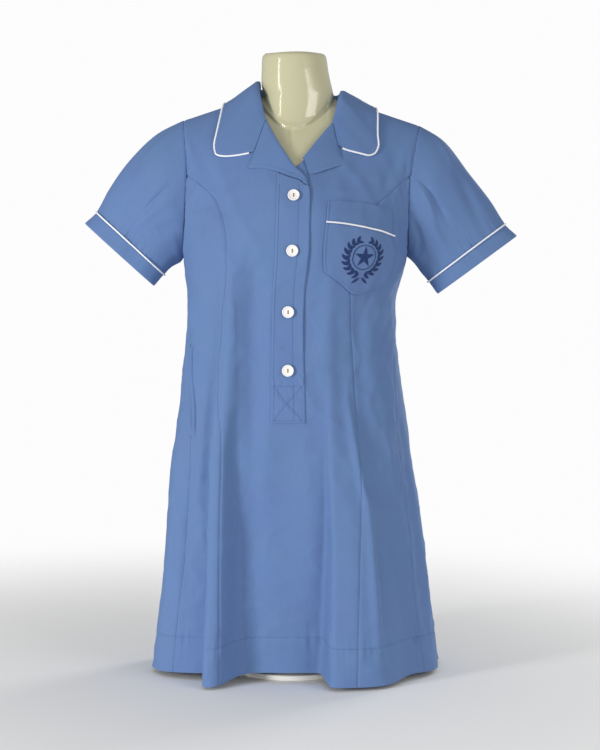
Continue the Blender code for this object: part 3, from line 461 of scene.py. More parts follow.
def body(girth, level, face=None):
    """Points of the dress's outer face. Face, -1 or 1, keeps a point at the side on the front or back.

    A ring's width goes with a power of the sine of the angle and its depth with arc. The hem lifts and
    the shoulders slope. Each fold adds a ridge between a rise and a fall, which grows on its way down.
    """
    girth, level = np.broadcast_arrays(np.asarray(girth, float), np.asarray(level, float))
    g = wrap(girth)
    side = np.where(g < 0, -1.0, 1.0)
    out = np.where(np.abs(g) <= 1, -1.0, 1.0) if face is None else np.broadcast_to(face, g.shape)
    front = out < 0
    angle = np.abs(g) * math.pi / 2
    across = ramp(np.sin(angle)) ** SQUARENESS
    along, reach = arc(angle, level, front)
    half = read(SECTIONS, "half_width", level)
    x = read(SECTIONS, "sway", level) + side * half * across
    y = out * reach
    near_hem = ramp(1 - level / HEM_REACH) ** 2
    z = level + (HEM_HEIGHT + HEM_LIFT * along**3) * near_hem - chest_rise(level) * slope_drop(x)
    nx = side * across ** (2 / SQUARENESS - 1) / half
    ny = out * along ** (2 / SQUARENESS - 1) / np.maximum(depth_of(SECTIONS, level, front), 0.02)
    nx, ny = nx / np.hypot(nx, ny), ny / np.hypot(nx, ny)
    for fold in each(FOLDS):
        top, start_rise, start_fall, hem_rise, hem_fall, rise_width, fall_width, height, dip, lean = fold
        grown = ramp(1 - level / top)
        spread = FOLD_START + (1 - FOLD_START) * grown
        past_rise = wrap(g - start_rise - (hem_rise - start_rise) * grown) / (rise_width * spread)
        before_fall = wrap(start_fall + (hem_fall - start_fall) * grown - g) / (fall_width * spread)
        ridge = (1 + np.tanh(2 * past_rise)) * (1 + np.tanh(2 * before_fall)) / 4
        amount = ridge * grown**FOLD_GROWTH
        x = x + amount * (height * nx - lean * ny)
        y = y + amount * (height * ny + lean * nx)
        z = z - amount * dip
    return np.stack([x, y - FORM_FORWARD, z], -1)


def leaning(g, level, face):
    """Outward directions of one face of the dress, from points a short way off along girth and level.

    Above the armpits front and back are apart, so those points stay on the one face.
    """
    apart = level > ARMPIT
    front, right = face < 0, g < 0
    least = np.where(front, -1.0, np.where(right, -3.0, 1.0))
    most = np.where(front, 1.0, np.where(right, -1.0, 3.0))
    low = np.where(apart, np.maximum(g - GIRTH_STEP, least), g - GIRTH_STEP)
    high = np.where(apart, np.minimum(g + GIRTH_STEP, most), g + GIRTH_STEP)
    ahead, behind = (np.where(apart, face, np.where(np.abs(wrap(end)) <= 1, -1.0, 1.0))
                     for end in (high, low))
    round_it = body(high, level, ahead) - body(low, level, behind)
    upper = body(g, np.minimum(level + LEVEL_STEP, SHOULDER), face)
    lower = body(g, np.maximum(level - LEVEL_STEP, 0), face)
    return unit(np.cross(round_it, upper - lower))


def normals(girth, level):
    """Outward directions of the dress; on the shoulder seam they lie midway between front and back."""
    girth, level = np.broadcast_arrays(np.asarray(girth, float), np.asarray(level, float))
    g = wrap(girth)
    face = np.where(np.abs(g) <= 1, -1.0, 1.0)
    here = leaning(g, level, face)
    across = np.where(g < 0, -1.0, 1.0) * (2 - np.abs(g))
    there = leaning(across, level, -face)
    on_ridge = (level > SHOULDER - 1e-6)[..., None]
    return np.where(on_ridge, unit(here + there), here)


def over(girth, level):
    """A point by its girth from the centre front, and its level counted on over the shoulder seam."""
    girth, level = np.broadcast_arrays(np.asarray(girth, float), np.asarray(level, float))
    behind = level > SHOULDER
    far = np.where(girth < 0, -1.0, 1.0) * (2 - np.abs(girth))
    return np.where(behind, far, girth), np.where(behind, 2 * SHOULDER - level, level)


def draw_in(points, edges, by=SEAM_GAP / 2):
    """Move the named edges of a grid in towards the next points of it."""
    moved = points.copy()
    for name, edge, beside in (("first", np.s_[0], np.s_[1]), ("last", np.s_[-1], np.s_[-2]),
                               ("bottom", np.s_[:, 0], np.s_[:, 1]), ("top", np.s_[:, -1], np.s_[:, -2])):
        if name in edges:
            moved[edge] += by * unit(points[beside] - points[edge])
    return moved


def between(guides, steps):
    """Columns of girths between guide lines, each guide an array along the rows, in steps from 0 to 1."""
    columns = []
    for low, high, shares in zip(guides, guides[1:], steps):
        columns += [low + (high - low) * share for share in shares]
    return np.array(columns + [guides[-1]])


def even(count):
    """Even shares from 0 up to but not including 1."""
    return [k / count for k in range(count)]


def line_of(rows, side, level):
    """Girth of a seam or neckline on one side at each level, from its table."""
    return SIGNS[side] * read(rows, side, level)


def placket_edge(girth, level):
    """Girth over the placket's strip, whose free edge rounds off below the end of the lapel."""
    left = SLOT_LEFT + PLACKET_LAP / 2
    across = ramp((girth - left) / PLACKET_ROUNDING + 1)
    return girth - 0.5 * PLACKET_ROUNDING * across * ramp((level - ROUNDING_START) / ROUNDING_LENGTH) ** 2


def grid_normals(points, ring=False):
    """Directions out of a grid of points, from its neighbours along both of its ways."""
    if ring:
        round_it = np.roll(points, -1, axis=0) - np.roll(points, 1, axis=0)
    else:
        round_it = np.gradient(points, axis=0)
    return unit(np.cross(round_it, np.gradient(points, axis=1)))


def smoothed(rows, parts):
    """A table with smooth rows put in between its own."""
    count = len(next(iter(rows.values())))
    fine = np.linspace(0, count - 1, (count - 1) * parts + 1)
    return {name: follow(np.arange(count), values, fine) for name, values in rows.items()}


def edge_path(points, out, aside):
    """A path beside an edge, a cord's radius and a gap away from it."""
    run = np.gradient(points, axis=0)
    away = unit(np.cross(run, out)) * aside
    return points + away * (PIPING_RADIUS + SEAM_GAP)


def armhole(side):
    """Points and outward directions round an armhole, from its top down the front and up the back."""
    rows, here = np.array(CHEST_ROWS), SIGNS[side]
    down, up = rows[::-1], rows[1:-1]
    level = np.concatenate([down, up])
    face = np.concatenate([np.full(len(down), -1.0), np.full(len(up), 1.0)])
    points = body(here, level, face)
    out = leaning(np.full(len(level), here), level, face)
    ends = [0, len(down) - 1]
    out[ends] = unit(out[ends] + leaning(np.full(2, here), level[ends], -face[ends]))
    rise = (level - ARMPIT) / (SHOULDER - ARMPIT)
    turn = np.arccos(np.clip(2 * rise - 1, -1, 1)) * -face
    return points, out, turn


def sleeve_grid(side, shares):
    """Outer points of a sleeve and directions out of them: ovals that start on the armhole.

    Each oval stands between the sleeve's upper and lower lines. What the first one is off the armhole's
    own points is added to the rest, less and less down the sleeve.
    """
    rows = {"right": SLEEVE_RIGHT, "left": SLEEVE_LEFT}[side]
    start, start_out, turn = armhole(side)

    def oval(share):
        """The sleeve's ovals at some shares of the way down, without their meeting the armhole."""
        values = {name: read(rows, name, share, "share") for name in rows}
        upper = np.stack([SIGNS[side] * values["outer_x"], values["outer_z"]], -1)
        lower = np.stack([SIGNS[side] * values["inner_x"], values["inner_z"]], -1)
        middle, reach = (upper + lower) / 2, (upper - lower) / 2
        depth = np.where(turn[:, None] >= 0, values["front"], values["back"])
        flat = middle + reach * np.cos(turn)[:, None, None]
        y = -depth * np.sin(turn)[:, None] - FORM_FORWARD
        return np.stack([flat[..., 0], y, flat[..., 1]], -1)

    points = oval(shares)
    fade = (1 - shares) ** 2 * (1 + 2 * shares)
    points += (start[:, None] - oval(np.array([0.0]))) * fade[:, None]
    if side == "right":
        points, start_out = points[::-1], start_out[::-1]
    out = grid_normals(points, ring=True)
    meet = np.sum(out[:, 0] * start_out, axis=-1, keepdims=True)
    out[:, 0] = unit(start_out + out[:, 0] * ramp(1 - meet))
    return points, out


def under_cloth(x, height, front):
    """How far from its axis the form may reach at a place and stay just inside the dress."""
    level = np.full(x.shape, height + FORM_EASE)
    # The level under a height depends on itself by the slope of the shoulders, so it is closed in on
    for _ in range(20):
        level = height + FORM_EASE + chest_rise(level) * slope_drop(x)
    inside = np.where(level < SHOULDER, 1.0, 0.0)
    level = np.minimum(level, SHOULDER)
    across = np.abs(x - read(SECTIONS, "sway", level)) / read(SECTIONS, "half_width", level)
    angle = np.arcsin(ramp(across) ** (1 / SQUARENESS))
    return ramp(arc(angle, level, front)[1] - FORM_EASE) * inside


def form_ring(height, turn):
    """One ring of the torso form: the wider of its trunk and its neck in every direction."""
    dense = np.linspace(0, 2 * math.pi, 721)
    x = np.sin(dense)
    x = read(FORM_SECTIONS, "half_width", height) * np.sign(x) * np.abs(x) ** FORM_ROUNDNESS
    front = np.cos(dense) > 0
    depth = depth_of(FORM_SECTIONS, height, front) * np.abs(np.cos(dense)) ** FORM_ROUNDNESS
    depth = np.minimum(depth, under_cloth(x, height, front))
    x = np.where(depth > 0, x, 0)
    y = np.where(front, -depth, depth) + NECK_FORWARD
    reach = np.interp(turn, np.arctan2(x, -y), np.hypot(x, y), period=2 * math.pi)
    if height > NECK_SECTIONS["level"][0]:
        right, left, deep = (read(NECK_SECTIONS, name, height) for name in ("right", "left", "depth"))
        neck = 1 / np.hypot(np.sin(turn) / np.where(turn < math.pi, left, right), np.cos(turn) / deep)
        reach = (reach**NECK_BLEND + neck**NECK_BLEND) ** (1 / NECK_BLEND)
    y = -reach * np.cos(turn) - NECK_FORWARD - FORM_FORWARD
    slope = NECK_SLOPE * ramp((height - NECK_SLOPE_START) / (NECK_TOP - NECK_SLOPE_START))
    return np.stack([reach * np.sin(turn), y, height - slope * reach * np.cos(turn)], -1)


# Metres of cloth to one unit of girth
GIRTH_LENGTH = 0.27

# Soft creases, each along a line from one place to another: how far to each side it reaches, and how
# high its ridge is, or how deep its trough
CREASES = table(
    "girth level to_girth to_level width height",
    # From the right shoulder towards the bust and the placket
    (-0.640, 0.850, -0.210, 0.620, 0.014, -0.0027),
    (-0.560, 0.850, -0.170, 0.640, 0.012, 0.0026),
    (-0.720, 0.800, -0.520, 0.680, 0.012, 0.0017),
    (-0.800, 0.780, -0.640, 0.690, 0.009, -0.0014),
    (-0.420, 0.700, -0.400, 0.560, 0.012, 0.0016),
    (-0.165, 0.640, -0.135, 0.430, 0.010, -0.0034),
    (-0.190, 0.580, -0.160, 0.400, 0.008, 0.0015),
    # The fold on the wearer's right: its crest, the valley beside it and a line between
    (-0.335, 0.640, -0.275, 0.370, 0.013, 0.0066),
    (-0.345, 0.420, -0.290, 0.040, 0.011, 0.0022),
    (-0.215, 0.650, -0.165, 0.370, 0.013, -0.0080),
    (-0.165, 0.420, -0.160, 0.100, 0.014, -0.0040),
    (-0.195, 0.140, -0.188, -0.030, 0.009, 0.0042),
    (-0.455, 0.480, -0.420, 0.200, 0.009, -0.0022),
    (-0.500, 0.470, -0.490, 0.260, 0.009, 0.0018),
    # From the left shoulder to the pocket, and beside it
    (0.680, 0.850, 0.500, 0.760, 0.013, -0.0018),
    (0.250, 0.830, 0.200, 0.740, 0.012, 0.0014),
    (0.320, 0.840, 0.300, 0.770, 0.010, -0.0014),
    (0.100, 0.740, 0.095, 0.600, 0.009, 0.0014),
    (0.700, 0.740, 0.640, 0.640, 0.009, 0.0016),
    # Down from the pocket: a broad crest, the hollow beyond it and the sharper crest in the skirt
    (0.190, 0.620, 0.175, 0.330, 0.014, 0.0052),
    (0.400, 0.600, 0.385, 0.300, 0.018, -0.0040),
    (0.284, 0.430, 0.332, 0.255, 0.0070, 0.0056),
    (0.336, 0.290, 0.333, 0.030, 0.0070, 0.0056),
    (0.400, 0.390, 0.425, 0.240, 0.010, -0.0026),
    (0.394, 0.270, 0.386, 0.030, 0.009, -0.0058),
    (0.240, 0.300, 0.230, 0.020, 0.012, 0.0016),
    # From the placket's foot into the skirt
    (-0.100, 0.420, -0.150, 0.230, 0.011, 0.0020),
    (-0.010, 0.390, -0.040, 0.190, 0.014, -0.0020),
    (0.060, 0.385, 0.060, 0.100, 0.013, 0.0018),
    (-0.060, 0.180, -0.070, 0.000, 0.018, 0.0016),
    # Beneath the pocket and at the waist on the wearer's left
    (0.560, 0.620, 0.430, 0.560, 0.008, -0.0018),
    (0.720, 0.600, 0.480, 0.530, 0.009, 0.0018),
    (0.780, 0.560, 0.520, 0.500, 0.008, -0.0019),
    (0.820, 0.520, 0.600, 0.470, 0.008, 0.0014),
    # At the waist on the wearer's right, towards the side pocket
    (-0.900, 0.590, -0.640, 0.525, 0.009, 0.0018),
    (-0.880, 0.555, -0.600, 0.480, 0.008, -0.0019),
    (-0.720, 0.490, -0.560, 0.330, 0.009, 0.0020),
    (-0.600, 0.360, -0.560, 0.120, 0.015, -0.0020),
    (-0.640, 0.200, -0.620, 0.030, 0.014, 0.0017),
    # Below the armpits in front
    (-0.900, 0.665, -0.600, 0.640, 0.009, 0.0027),
    (-0.940, 0.635, -0.680, 0.590, 0.008, -0.0024),
    (-0.620, 0.730, -0.560, 0.640, 0.009, -0.0021),
    (0.930, 0.660, 0.690, 0.640, 0.009, 0.0025),
    (0.950, 0.630, 0.740, 0.590, 0.008, -0.0024),
    # The skirt's sides
    (0.560, 0.420, 0.560, 0.060, 0.016, 0.0034),
    (0.740, 0.430, 0.760, 0.080, 0.018, -0.0036),
    (0.650, 0.200, 0.670, 0.010, 0.012, 0.0022),
    (-0.760, 0.400, -0.790, 0.060, 0.018, 0.0034),
    (-0.860, 0.250, -0.880, 0.030, 0.014, -0.0022),
    # Across and down the back
    (1.250, 0.700, 1.420, 0.640, 0.010, -0.0026),
    (1.150, 0.640, 1.400, 0.580, 0.010, 0.0029),
    (1.120, 0.590, 1.340, 0.545, 0.009, -0.0026),
    (-1.250, 0.690, -1.430, 0.630, 0.010, -0.0026),
    (-1.160, 0.630, -1.380, 0.575, 0.010, 0.0027),
    (-1.140, 0.585, -1.330, 0.530, 0.009, -0.0024),
    (1.520, 0.640, 1.460, 0.420, 0.012, -0.0030),
    (1.660, 0.600, 1.690, 0.380, 0.012, 0.0026),
    (-1.540, 0.620, -1.500, 0.440, 0.012, -0.0029),
    (-1.700, 0.580, -1.740, 0.360, 0.013, 0.0026),
    (1.820, 0.560, 1.880, 0.300, 0.016, 0.0030),
    (-1.850, 0.540, -1.870, 0.260, 0.016, -0.0029),
    (1.960, 0.850, 1.900, 0.640, 0.014, 0.0021),
    (-1.900, 0.780, -1.840, 0.640, 0.012, -0.0019),
    (1.560, 0.800, 1.700, 0.700, 0.011, -0.0021),
    (-1.580, 0.800, -1.720, 0.690, 0.011, 0.0021),
    (1.300, 0.420, 1.280, 0.080, 0.016, -0.0038),
    (1.480, 0.380, 1.500, 0.060, 0.015, 0.0030),
    (1.700, 0.300, 1.720, 0.020, 0.016, -0.0032),
    (-1.280, 0.400, -1.320, 0.100, 0.016, 0.0035),
    (-1.480, 0.360, -1.490, 0.040, 0.015, -0.0032),
    (-1.680, 0.300, -1.650, 0.030, 0.016, 0.0029),
)

# Long soft swells of the cloth: how many to a metre round and up it, and how high
SWELLS = table(
    "round up phase height",
    (7.0, 3.0, 0.4, 0.00050),
    (11.0, -5.0, 2.1, 0.00035),
    (4.0, 9.0, 4.0, 0.00030),
    (23.0, 13.0, 1.3, 0.00018),
    (-17.0, 29.0, 5.2, 0.00014),
    (41.0, -19.0, 2.9, 0.00008),
)

# Fine creases: ridges to a metre round and up the cloth, and how high
CRUMPLES = table(
    "round up phase height",
    (11.0, 1.5, 0.3, 0.0014),
    (17.0, -3.0, 1.9, 0.0010),
    (9.0, 12.0, 4.4, 0.0011),
    (-8.0, 15.0, 2.6, 0.0010),
    (26.0, 5.0, 5.1, 0.0005),
)

HEM_DEPTH = 0.057
# Rows of a grid lie closer about this level, where the cloth turns under
HEM_TURN = 0.003
# How far the cloth draws up beside the hem's stitching, and how far any line of stitching sinks
HEM_PUCKER = 0.0012
STITCH_DIP = 0.00045
STITCH_LENGTH = 0.0024
STITCH_RADIUS = 0.00024
STITCH_SPACE = 0.09
# Creases die away over this distance from the shoulder seam, down to this share
HELD_REACH = 0.09
HELD_LEAST = 0.15
# The stitching of the collar and the revers runs this far in from their edges
TURNED_INSET = 0.0065


def swells(across, up):
    """Sum of long slanting sine waves, from metres across and up the cloth."""
    total = 0
    for round_it, up_it, phase, height in each(SWELLS):
        total = total + height * np.sin(2 * math.pi * (round_it * across + up_it * up) + phase)
    return total


def line_ridge(x, y, run, width, height, end, power):
    """A rounded ridge or trough along a line from the origin.

    It fades with the square of the distance over the width, and along the line with a power of a half
    sine wave, which starts a small share in from its end.
    """
    share = ramp((x * run[0] + y * run[1]) / (run @ run))
    apart = ((x - share * run[0]) ** 2 + (y - share * run[1]) ** 2) / width**2
    return height * np.exp(-apart) * np.sin(math.pi * np.clip(share, end, 1 - end)) ** power


def crumple(across, up):
    """Fine creases of wear: ridges, each a squared dip of a sine wave, that wander and come in patches."""
    total = 0
    for round_it, up_it, phase, height in each(CRUMPLES):
        wander = 0.7 * np.sin(2 * math.pi * (5.3 * up - 2.1 * across) + phase)
        wander = wander + 0.4 * np.sin(2 * math.pi * (13.0 * up + 8.0 * across) + 2 * phase)
        part = ramp(np.sin(2 * math.pi * (2.3 * up + 3.1 * across) + 3 * phase) + 0.25)
        ridge = (1 - np.abs(np.sin(math.pi * (round_it * across + up_it * up) + wander))) ** 2
        total = total + height * part * (ridge - 0.2)
    return total


def creases(girth, level):
    """Height of the cloth: swells, fine creases, those of the table, and the hem's dip and puckers."""
    g = wrap(girth)
    total = swells(g * GIRTH_LENGTH, level) + crumple(g * GIRTH_LENGTH, level)
    for start, low, end, high, width, height in each(CREASES):
        run = np.array([(end - start) * GIRTH_LENGTH, high - low])
        x = wrap(g - start) * GIRTH_LENGTH
        total = total + line_ridge(x, level - low, run, width, height, 0.03, 0.5)
    held = np.clip((SHOULDER - level) / HELD_REACH, HELD_LEAST, 1)
    pucker = np.sin(g * 190 + 2.5 * np.sin(g * 41)) * np.exp(-np.abs(level - HEM_DEPTH + 0.004) / 0.016)
    pucker = pucker * HEM_PUCKER * (0.6 + 0.4 * np.sin(g * 23))
    return total * held + pucker - bell(level - HEM_DEPTH, 0.0016) * STITCH_DIP


def dress(girth, level, lift=0.0):
    """Points of the creased cloth, and the directions out of its plain shape."""
    out = normals(girth, level)
    height = np.broadcast_to(creases(girth, level) + lift, out.shape[:-1])
    return body(girth, level) + height[..., None] * out, out


def lengths(points):
    """Distance of each point of a path or grid from the first of its column, along the column."""
    steps = np.linalg.norm(np.diff(points, axis=0), axis=-1)
    return np.concatenate([np.zeros((1,) + steps.shape[1:]), np.cumsum(steps, axis=0)])


def widths(points):
    """Distance of each point of a grid from the first of its row, along the row."""
    return lengths(points.swapaxes(0, 1)).swapaxes(0, 1)


def seam_dip(points, along, seams, dip=0.0009, reach=0.0022, pucker=0.00022):
    """How far the cloth sinks towards its seams, with puckers about 12 mm long that fade beside them."""
    down, up = lengths(points), widths(points)
    total = np.zeros(points.shape[:2])
    places = {"first": down, "last": down[-1:] - down, "bottom": up, "top": up[:, -1:] - up}
    for name, away in places.items():
        if name in seams:
            wave = np.sin(along * 2 * math.pi / 0.012 + 2 * np.sin(along * 2 * math.pi / 0.041))
            total += pucker * wave * np.exp(-away / 0.008) - dip * bell(away, reach)
    return total


def grid_mesh(name, outer, inner, finish, uv, keep=None, ring=False):
    """A closed thin wall between two grids of points, over the kept cells, or right round a ring."""
    columns, rows = outer.shape[:2]
    cells = columns if ring else columns - 1
    keep = np.ones((cells, rows - 1), bool) if keep is None else keep
    i, j = np.nonzero(keep)
    ahead = (i + 1) % columns
    a, b, c, d = i * rows + j, ahead * rows + j, ahead * rows + j + 1, i * rows + j + 1
    quads = np.stack([a, b, c, d], -1)
    # A kept cell has a rim towards each neighbour that is missing
    empty, edge = np.zeros((1, rows - 1), bool), np.zeros((cells, 1), bool)
    before = np.roll(keep, 1, axis=0) if ring else np.concatenate([empty, keep[:-1]])
    after = np.roll(keep, -1, axis=0) if ring else np.concatenate([keep[1:], empty])
    under = np.concatenate([edge, keep[:, :-1]], axis=1)
    above = np.concatenate([keep[:, 1:], edge], axis=1)
    size = columns * rows
    sides = []
    for neighbour, p, q in ((under, a, b), (after, b, c), (above, c, d), (before, d, a)):
        rim = ~neighbour[i, j]
        p, q = p[rim], q[rim]
        sides.append(np.stack([q, p, p + size, q + size], -1))
    faces = np.concatenate([quads, quads[:, ::-1] + size] + sides)
    points = np.concatenate([outer.reshape(-1, 3), inner.reshape(-1, 3)])
    return build_mesh(name, points, faces, finish, np.concatenate([uv.reshape(-1, 2)] * 2))


def build_mesh(name, points, faces, finish, uv=None):
    """A smooth mesh of faces that all have as many corners, from those of the points that they use."""
    used, places = np.unique(faces.ravel(), return_inverse=True)
    points = points[used]
    corners = faces.shape[1]
    mesh = bpy.data.meshes.new(name)
    mesh.vertices.add(len(points))
    mesh.vertices.foreach_set("co", points.astype(np.float32).ravel())
    mesh.loops.add(places.size)
    mesh.loops.foreach_set("vertex_index", places.astype(np.int32).ravel())
    mesh.polygons.add(len(faces))
    mesh.polygons.foreach_set("loop_start", np.arange(0, places.size, corners, dtype=np.int32))
    mesh.polygons.foreach_set("loop_total", np.full(len(faces), corners, np.int32))
    mesh.materials.append(finish)
    mesh.update(calc_edges=True)
    mesh.polygons.foreach_set("use_smooth", np.full(len(faces), True))
    if uv is not None:
        layer = mesh.uv_layers.new(name="cloth")
        layer.data.foreach_set("uv", uv[used][places.ravel()].astype(np.float32).ravel())
    mesh.validate()
    mesh.set_sharp_from_angle(angle=math.radians(55))
    made = bpy.data.objects.new(name, mesh)
    bpy.context.collection.objects.link(made)
    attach(made, "root")
    return made


def tube_faces(count, sides):
    """Faces between a stack of rings, and across its first and last ring."""
    i, k = np.meshgrid(np.arange(count - 1), np.arange(sides), indexing="ij")
    a, b = i * sides + k, i * sides + (k + 1) % sides
    walls = np.stack([a, b, b + sides, a + sides], -1).reshape(-1, 4)
    k = np.arange(sides // 2 - 1)
    first = np.stack([k, k + 1, sides - 2 - k, sides - 1 - k], -1)
    return np.concatenate([walls, first[:, ::-1], first + (count - 1) * sides])


def crowd(count, near_ends=0.8):
    """Shares from 0 up to but not including 1, closer together near both ends."""
    share = np.arange(count) / count
    return list(share - near_ends * np.sin(2 * math.pi * share) / (2 * math.pi))


def whole(count):
    """Such shares with the 1 too, as an array."""
    return np.array(crowd(count) + [1.0])


def levels(low, high, step=0.004, fine=()):
    """Levels from low to high, a step apart, with finer ones about each of some lines."""
    rows = [np.linspace(low, high, int(round((high - low) / step)) + 1)]
    rows += [line + np.linspace(-0.004, 0.004, 9) for line in fine]
    rows = np.unique(np.concatenate(rows).round(5))
    return rows[(rows >= low) & (rows <= high)]


def cloth_piece(name, girth, level, finish, seams="", lift=0.0, keep=None, shaped=0.0, bind=()):
    """A sewn piece of the dress from a grid of girths and levels, which takes the place of its solid."""
    girth, level = np.broadcast_arrays(girth, level)
    outer, out = dress(girth, level, lift)
    height = seam_dip(outer, level, seams) + shaped
    outer = draw_in(outer + height[..., None] * out, seams)
    inner = outer - WALL * out
    uv = np.stack([girth * GIRTH_LENGTH, level], -1)
    made = grid_mesh(name, outer, inner, finish, uv, keep)
    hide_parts(*bind)
    return made


def front_panels(cloth):
    """The front, slit above the placket's foot, and the side fronts between the curved and side seams."""
    level = levels(0, SHOULDER, fine=(HEM_DEPTH, HEM_TURN, SLOT_BOTTOM, ARMPIT))
    slit = level > SLOT_BOTTOM
    in_right = np.where(slit, np.minimum(line_of(NECKLINE, "right", level), SLOT_RIGHT), SLOT_RIGHT)
    in_left = np.where(slit, np.maximum(line_of(NECKLINE, "left", level), SLOT_LEFT), SLOT_LEFT)
    right, left = (line_of(PRINCESS_SEAMS, side, level) for side in ("right", "left"))
    beside, within = 40, 14
    girth = between([right, in_right, in_left, left], [crowd(beside), crowd(within), crowd(48)])
    keep = np.ones((len(girth) - 1, len(level) - 1), bool)
    keep[beside:beside + within, int(np.searchsorted(level, SLOT_BOTTOM)):] = False
    front = cloth_piece("front_panel", girth, level, cloth, "first last top", keep=keep,
                        bind=["front_centre"])
    level = levels(0, SIDE_FRONT_TOP, fine=(HEM_DEPTH, HEM_TURN))
    for side, flat, area in (("right", (0.145, 0.81), 0.073), ("left", (0.15, 0.815), 0.079)):
        seams = [line_of(SIDE_SEAMS, side, level), line_of(PRINCESS_SEAMS, side, level)]
        girth = between(seams if side == "right" else seams[::-1], [crowd(44)])
        mouth = side_pocket_shape(girth, level) if side == "right" else 0.0
        panel = cloth_piece(f"side_panel_{side}", girth, level, cloth, "first last top", shaped=mouth,
                            bind=[f"side_front_{side}"])


def side_pocket_shape(girth, level):
    """The mouth of the pocket in the wearer's right side seam: a lip that stands off, two lines that sink
    beside it, and a bar of stitching across each end."""
    fading, lip_height, lip_reach = 0.02, 0.0036, 0.005
    line_width, bar_depth, bar_width, bar_length = 0.0015, 0.0012, 0.0016, 0.0125
    away = (girth - line_of(SIDE_SEAMS, "right", level)) * GIRTH_LENGTH
    inside = ramp((level - MOUTH_LOW) / fading) * ramp((MOUTH_HIGH - level) / fading)
    lip = lip_height * np.exp(-away / lip_reach)
    lines = sum(depth * bell(away - place, line_width) for place, depth in MOUTH_LINES)
    bars = sum(-bar_depth * bell(level - end, bar_width) for end in (MOUTH_LOW, MOUTH_HIGH))
    return (lip + lines) * inside + bars * (away < bar_length)


def back_panel(cloth):
    """The back in one piece. Its rows below the neck bend down towards the middle, to the neckline."""
    rows = levels(0, SHOULDER, fine=(HEM_DEPTH, HEM_TURN))
    left = line_of(SIDE_SEAMS, "left", rows) + PAST_SIDE
    right = line_of(SIDE_SEAMS, "right", rows) + 4 - PAST_SIDE
    neck = np.full(len(rows), BACK_NECK_WIDTH)
    girth = between([left, 2 - neck, 2 + neck, right], [crowd(44, 0.6), even(28), crowd(44, 0.6)])
    near = ramp(1 - (np.abs(girth - 2) / BACK_NECK_WIDTH) ** 2)
    top = SHOULDER - (SHOULDER - BACK_NECK_LEVEL) * near**0.7
    above = np.clip((rows - BACK_NECK_START) / (SHOULDER - BACK_NECK_START), 0, None)
    level = np.where(rows > BACK_NECK_START, BACK_NECK_START + (top - BACK_NECK_START) * above, rows)
    made = cloth_piece("back_panel", girth, level, cloth, "first last top", bind=["back"])


def strip_levels(rows, top, count):
    """Levels of a strip's grid: the same rows in each column, then rows that climb to the column's top."""
    climb = TURN_LEVEL + (top - TURN_LEVEL) * np.arange(1, count + 1) / count
    return np.concatenate([np.broadcast_to(rows, (len(top), len(rows))), climb], axis=1)


def placket(cloth):
    """The under strip within its slot, and the over strip with its edges turned in."""
    girth = np.linspace(SLOT_RIGHT, SLOT_LEFT, 17)[:, None]
    stations = NECKLINE["level"]
    top = np.where(girth < 0, np.interp(-girth, NECKLINE["right"], stations),
                   np.interp(girth, NECKLINE["left"], stations))
    level = strip_levels(levels(SLOT_BOTTOM, TURN_LEVEL), top, 16)
    under = cloth_piece("placket_lower", girth, level, cloth, "first last bottom top",
                        bind=["placket_under"])
    across = whole(44)[:, None]
    girth = SLOT_RIGHT - PLACKET_LAP + across * (SLOT_LEFT - SLOT_RIGHT + 1.5 * PLACKET_LAP)
    # The strip ends a little below the edge of the right lapel
    lapel_girth, lapel_level = LAPEL_RIGHT["edge_girth"][4::-1], LAPEL_RIGHT["edge_level"][4::-1]
    top = np.interp(girth, lapel_girth, lapel_level) - 0.0024
    level = strip_levels(levels(SLOT_BOTTOM - 0.006, TURN_LEVEL, 0.0016), top, 8)
    girth = placket_edge(girth, level)
    over_strip = cloth_piece("placket_upper", girth, level, cloth, "", lift=UPPER_LIFT,
                             shaped=placket_shape(girth, level), bind=["placket_over"])


def placket_shape(girth, level):
    """Rounded edges, a free edge that lifts, the dips of the stitching, and strain about the buttons."""
    # Metres from the strip's edges, which round down
    right = (girth - SLOT_RIGHT + PLACKET_LAP) * GIRTH_LENGTH
    left = (SLOT_LEFT + PLACKET_LAP / 2 - girth) * GIRTH_LENGTH
    total = -0.0008 * bell(right, 0.0012) - 0.0006 * bell(left, 0.0008)
    # Above the box the left edge is free, and stands off by a wavy millimetre
    free = ramp((level - BOX_HIGH - 0.002) / 0.03)
    total = total + free * (0.0011 + 0.0005 * np.sin(level * 61)) * bell(left, 0.006)
    for away in (right - PLACKET_INSETS[0], left - PLACKET_INSETS[1]):
        total = total - 0.6 * STITCH_DIP * bell(away, 0.0010)
    # The box: shares across and up it, its two diagonals with puckers, and its lower and upper side
    sunk, reach, pucker = 0.0005, 0.0009, 0.00030
    across, up = (girth - BOX_RIGHT) / (BOX_LEFT - BOX_RIGHT), (level - BOX_LOW) / (BOX_HIGH - BOX_LOW)
    beside = (across > 0) * (across < 1)
    inside = beside * (up > 0) * (up < 1)
    for away in (up - across, up + across - 1):
        total = total - sunk * inside * bell(away * 0.020, reach)
        wave = np.sin(across * 2 * math.pi * 6 + 3 * up)
        total = total + pucker * inside * wave * np.exp(-np.abs(away) * 7)
    for away in (level - BOX_LOW, level - BOX_HIGH):
        total = total - sunk * beside * bell(away, reach)
    total = total + pucker * bell(level - 0.455, 0.02) * np.sin(girth * 210 + 2 * np.sin(level * 300))
    # A button pulls the cloth down in three short folds
    for button in BUTTON_LEVELS:
        x, y = (girth - BUTTON_GIRTH) * GIRTH_LENGTH, level - button
        star = 1 + 0.5 * np.cos(3 * np.arctan2(y, x) + 1)
        total = total - 0.0007 * bell(np.hypot(x, y), 0.007) * star
    return total


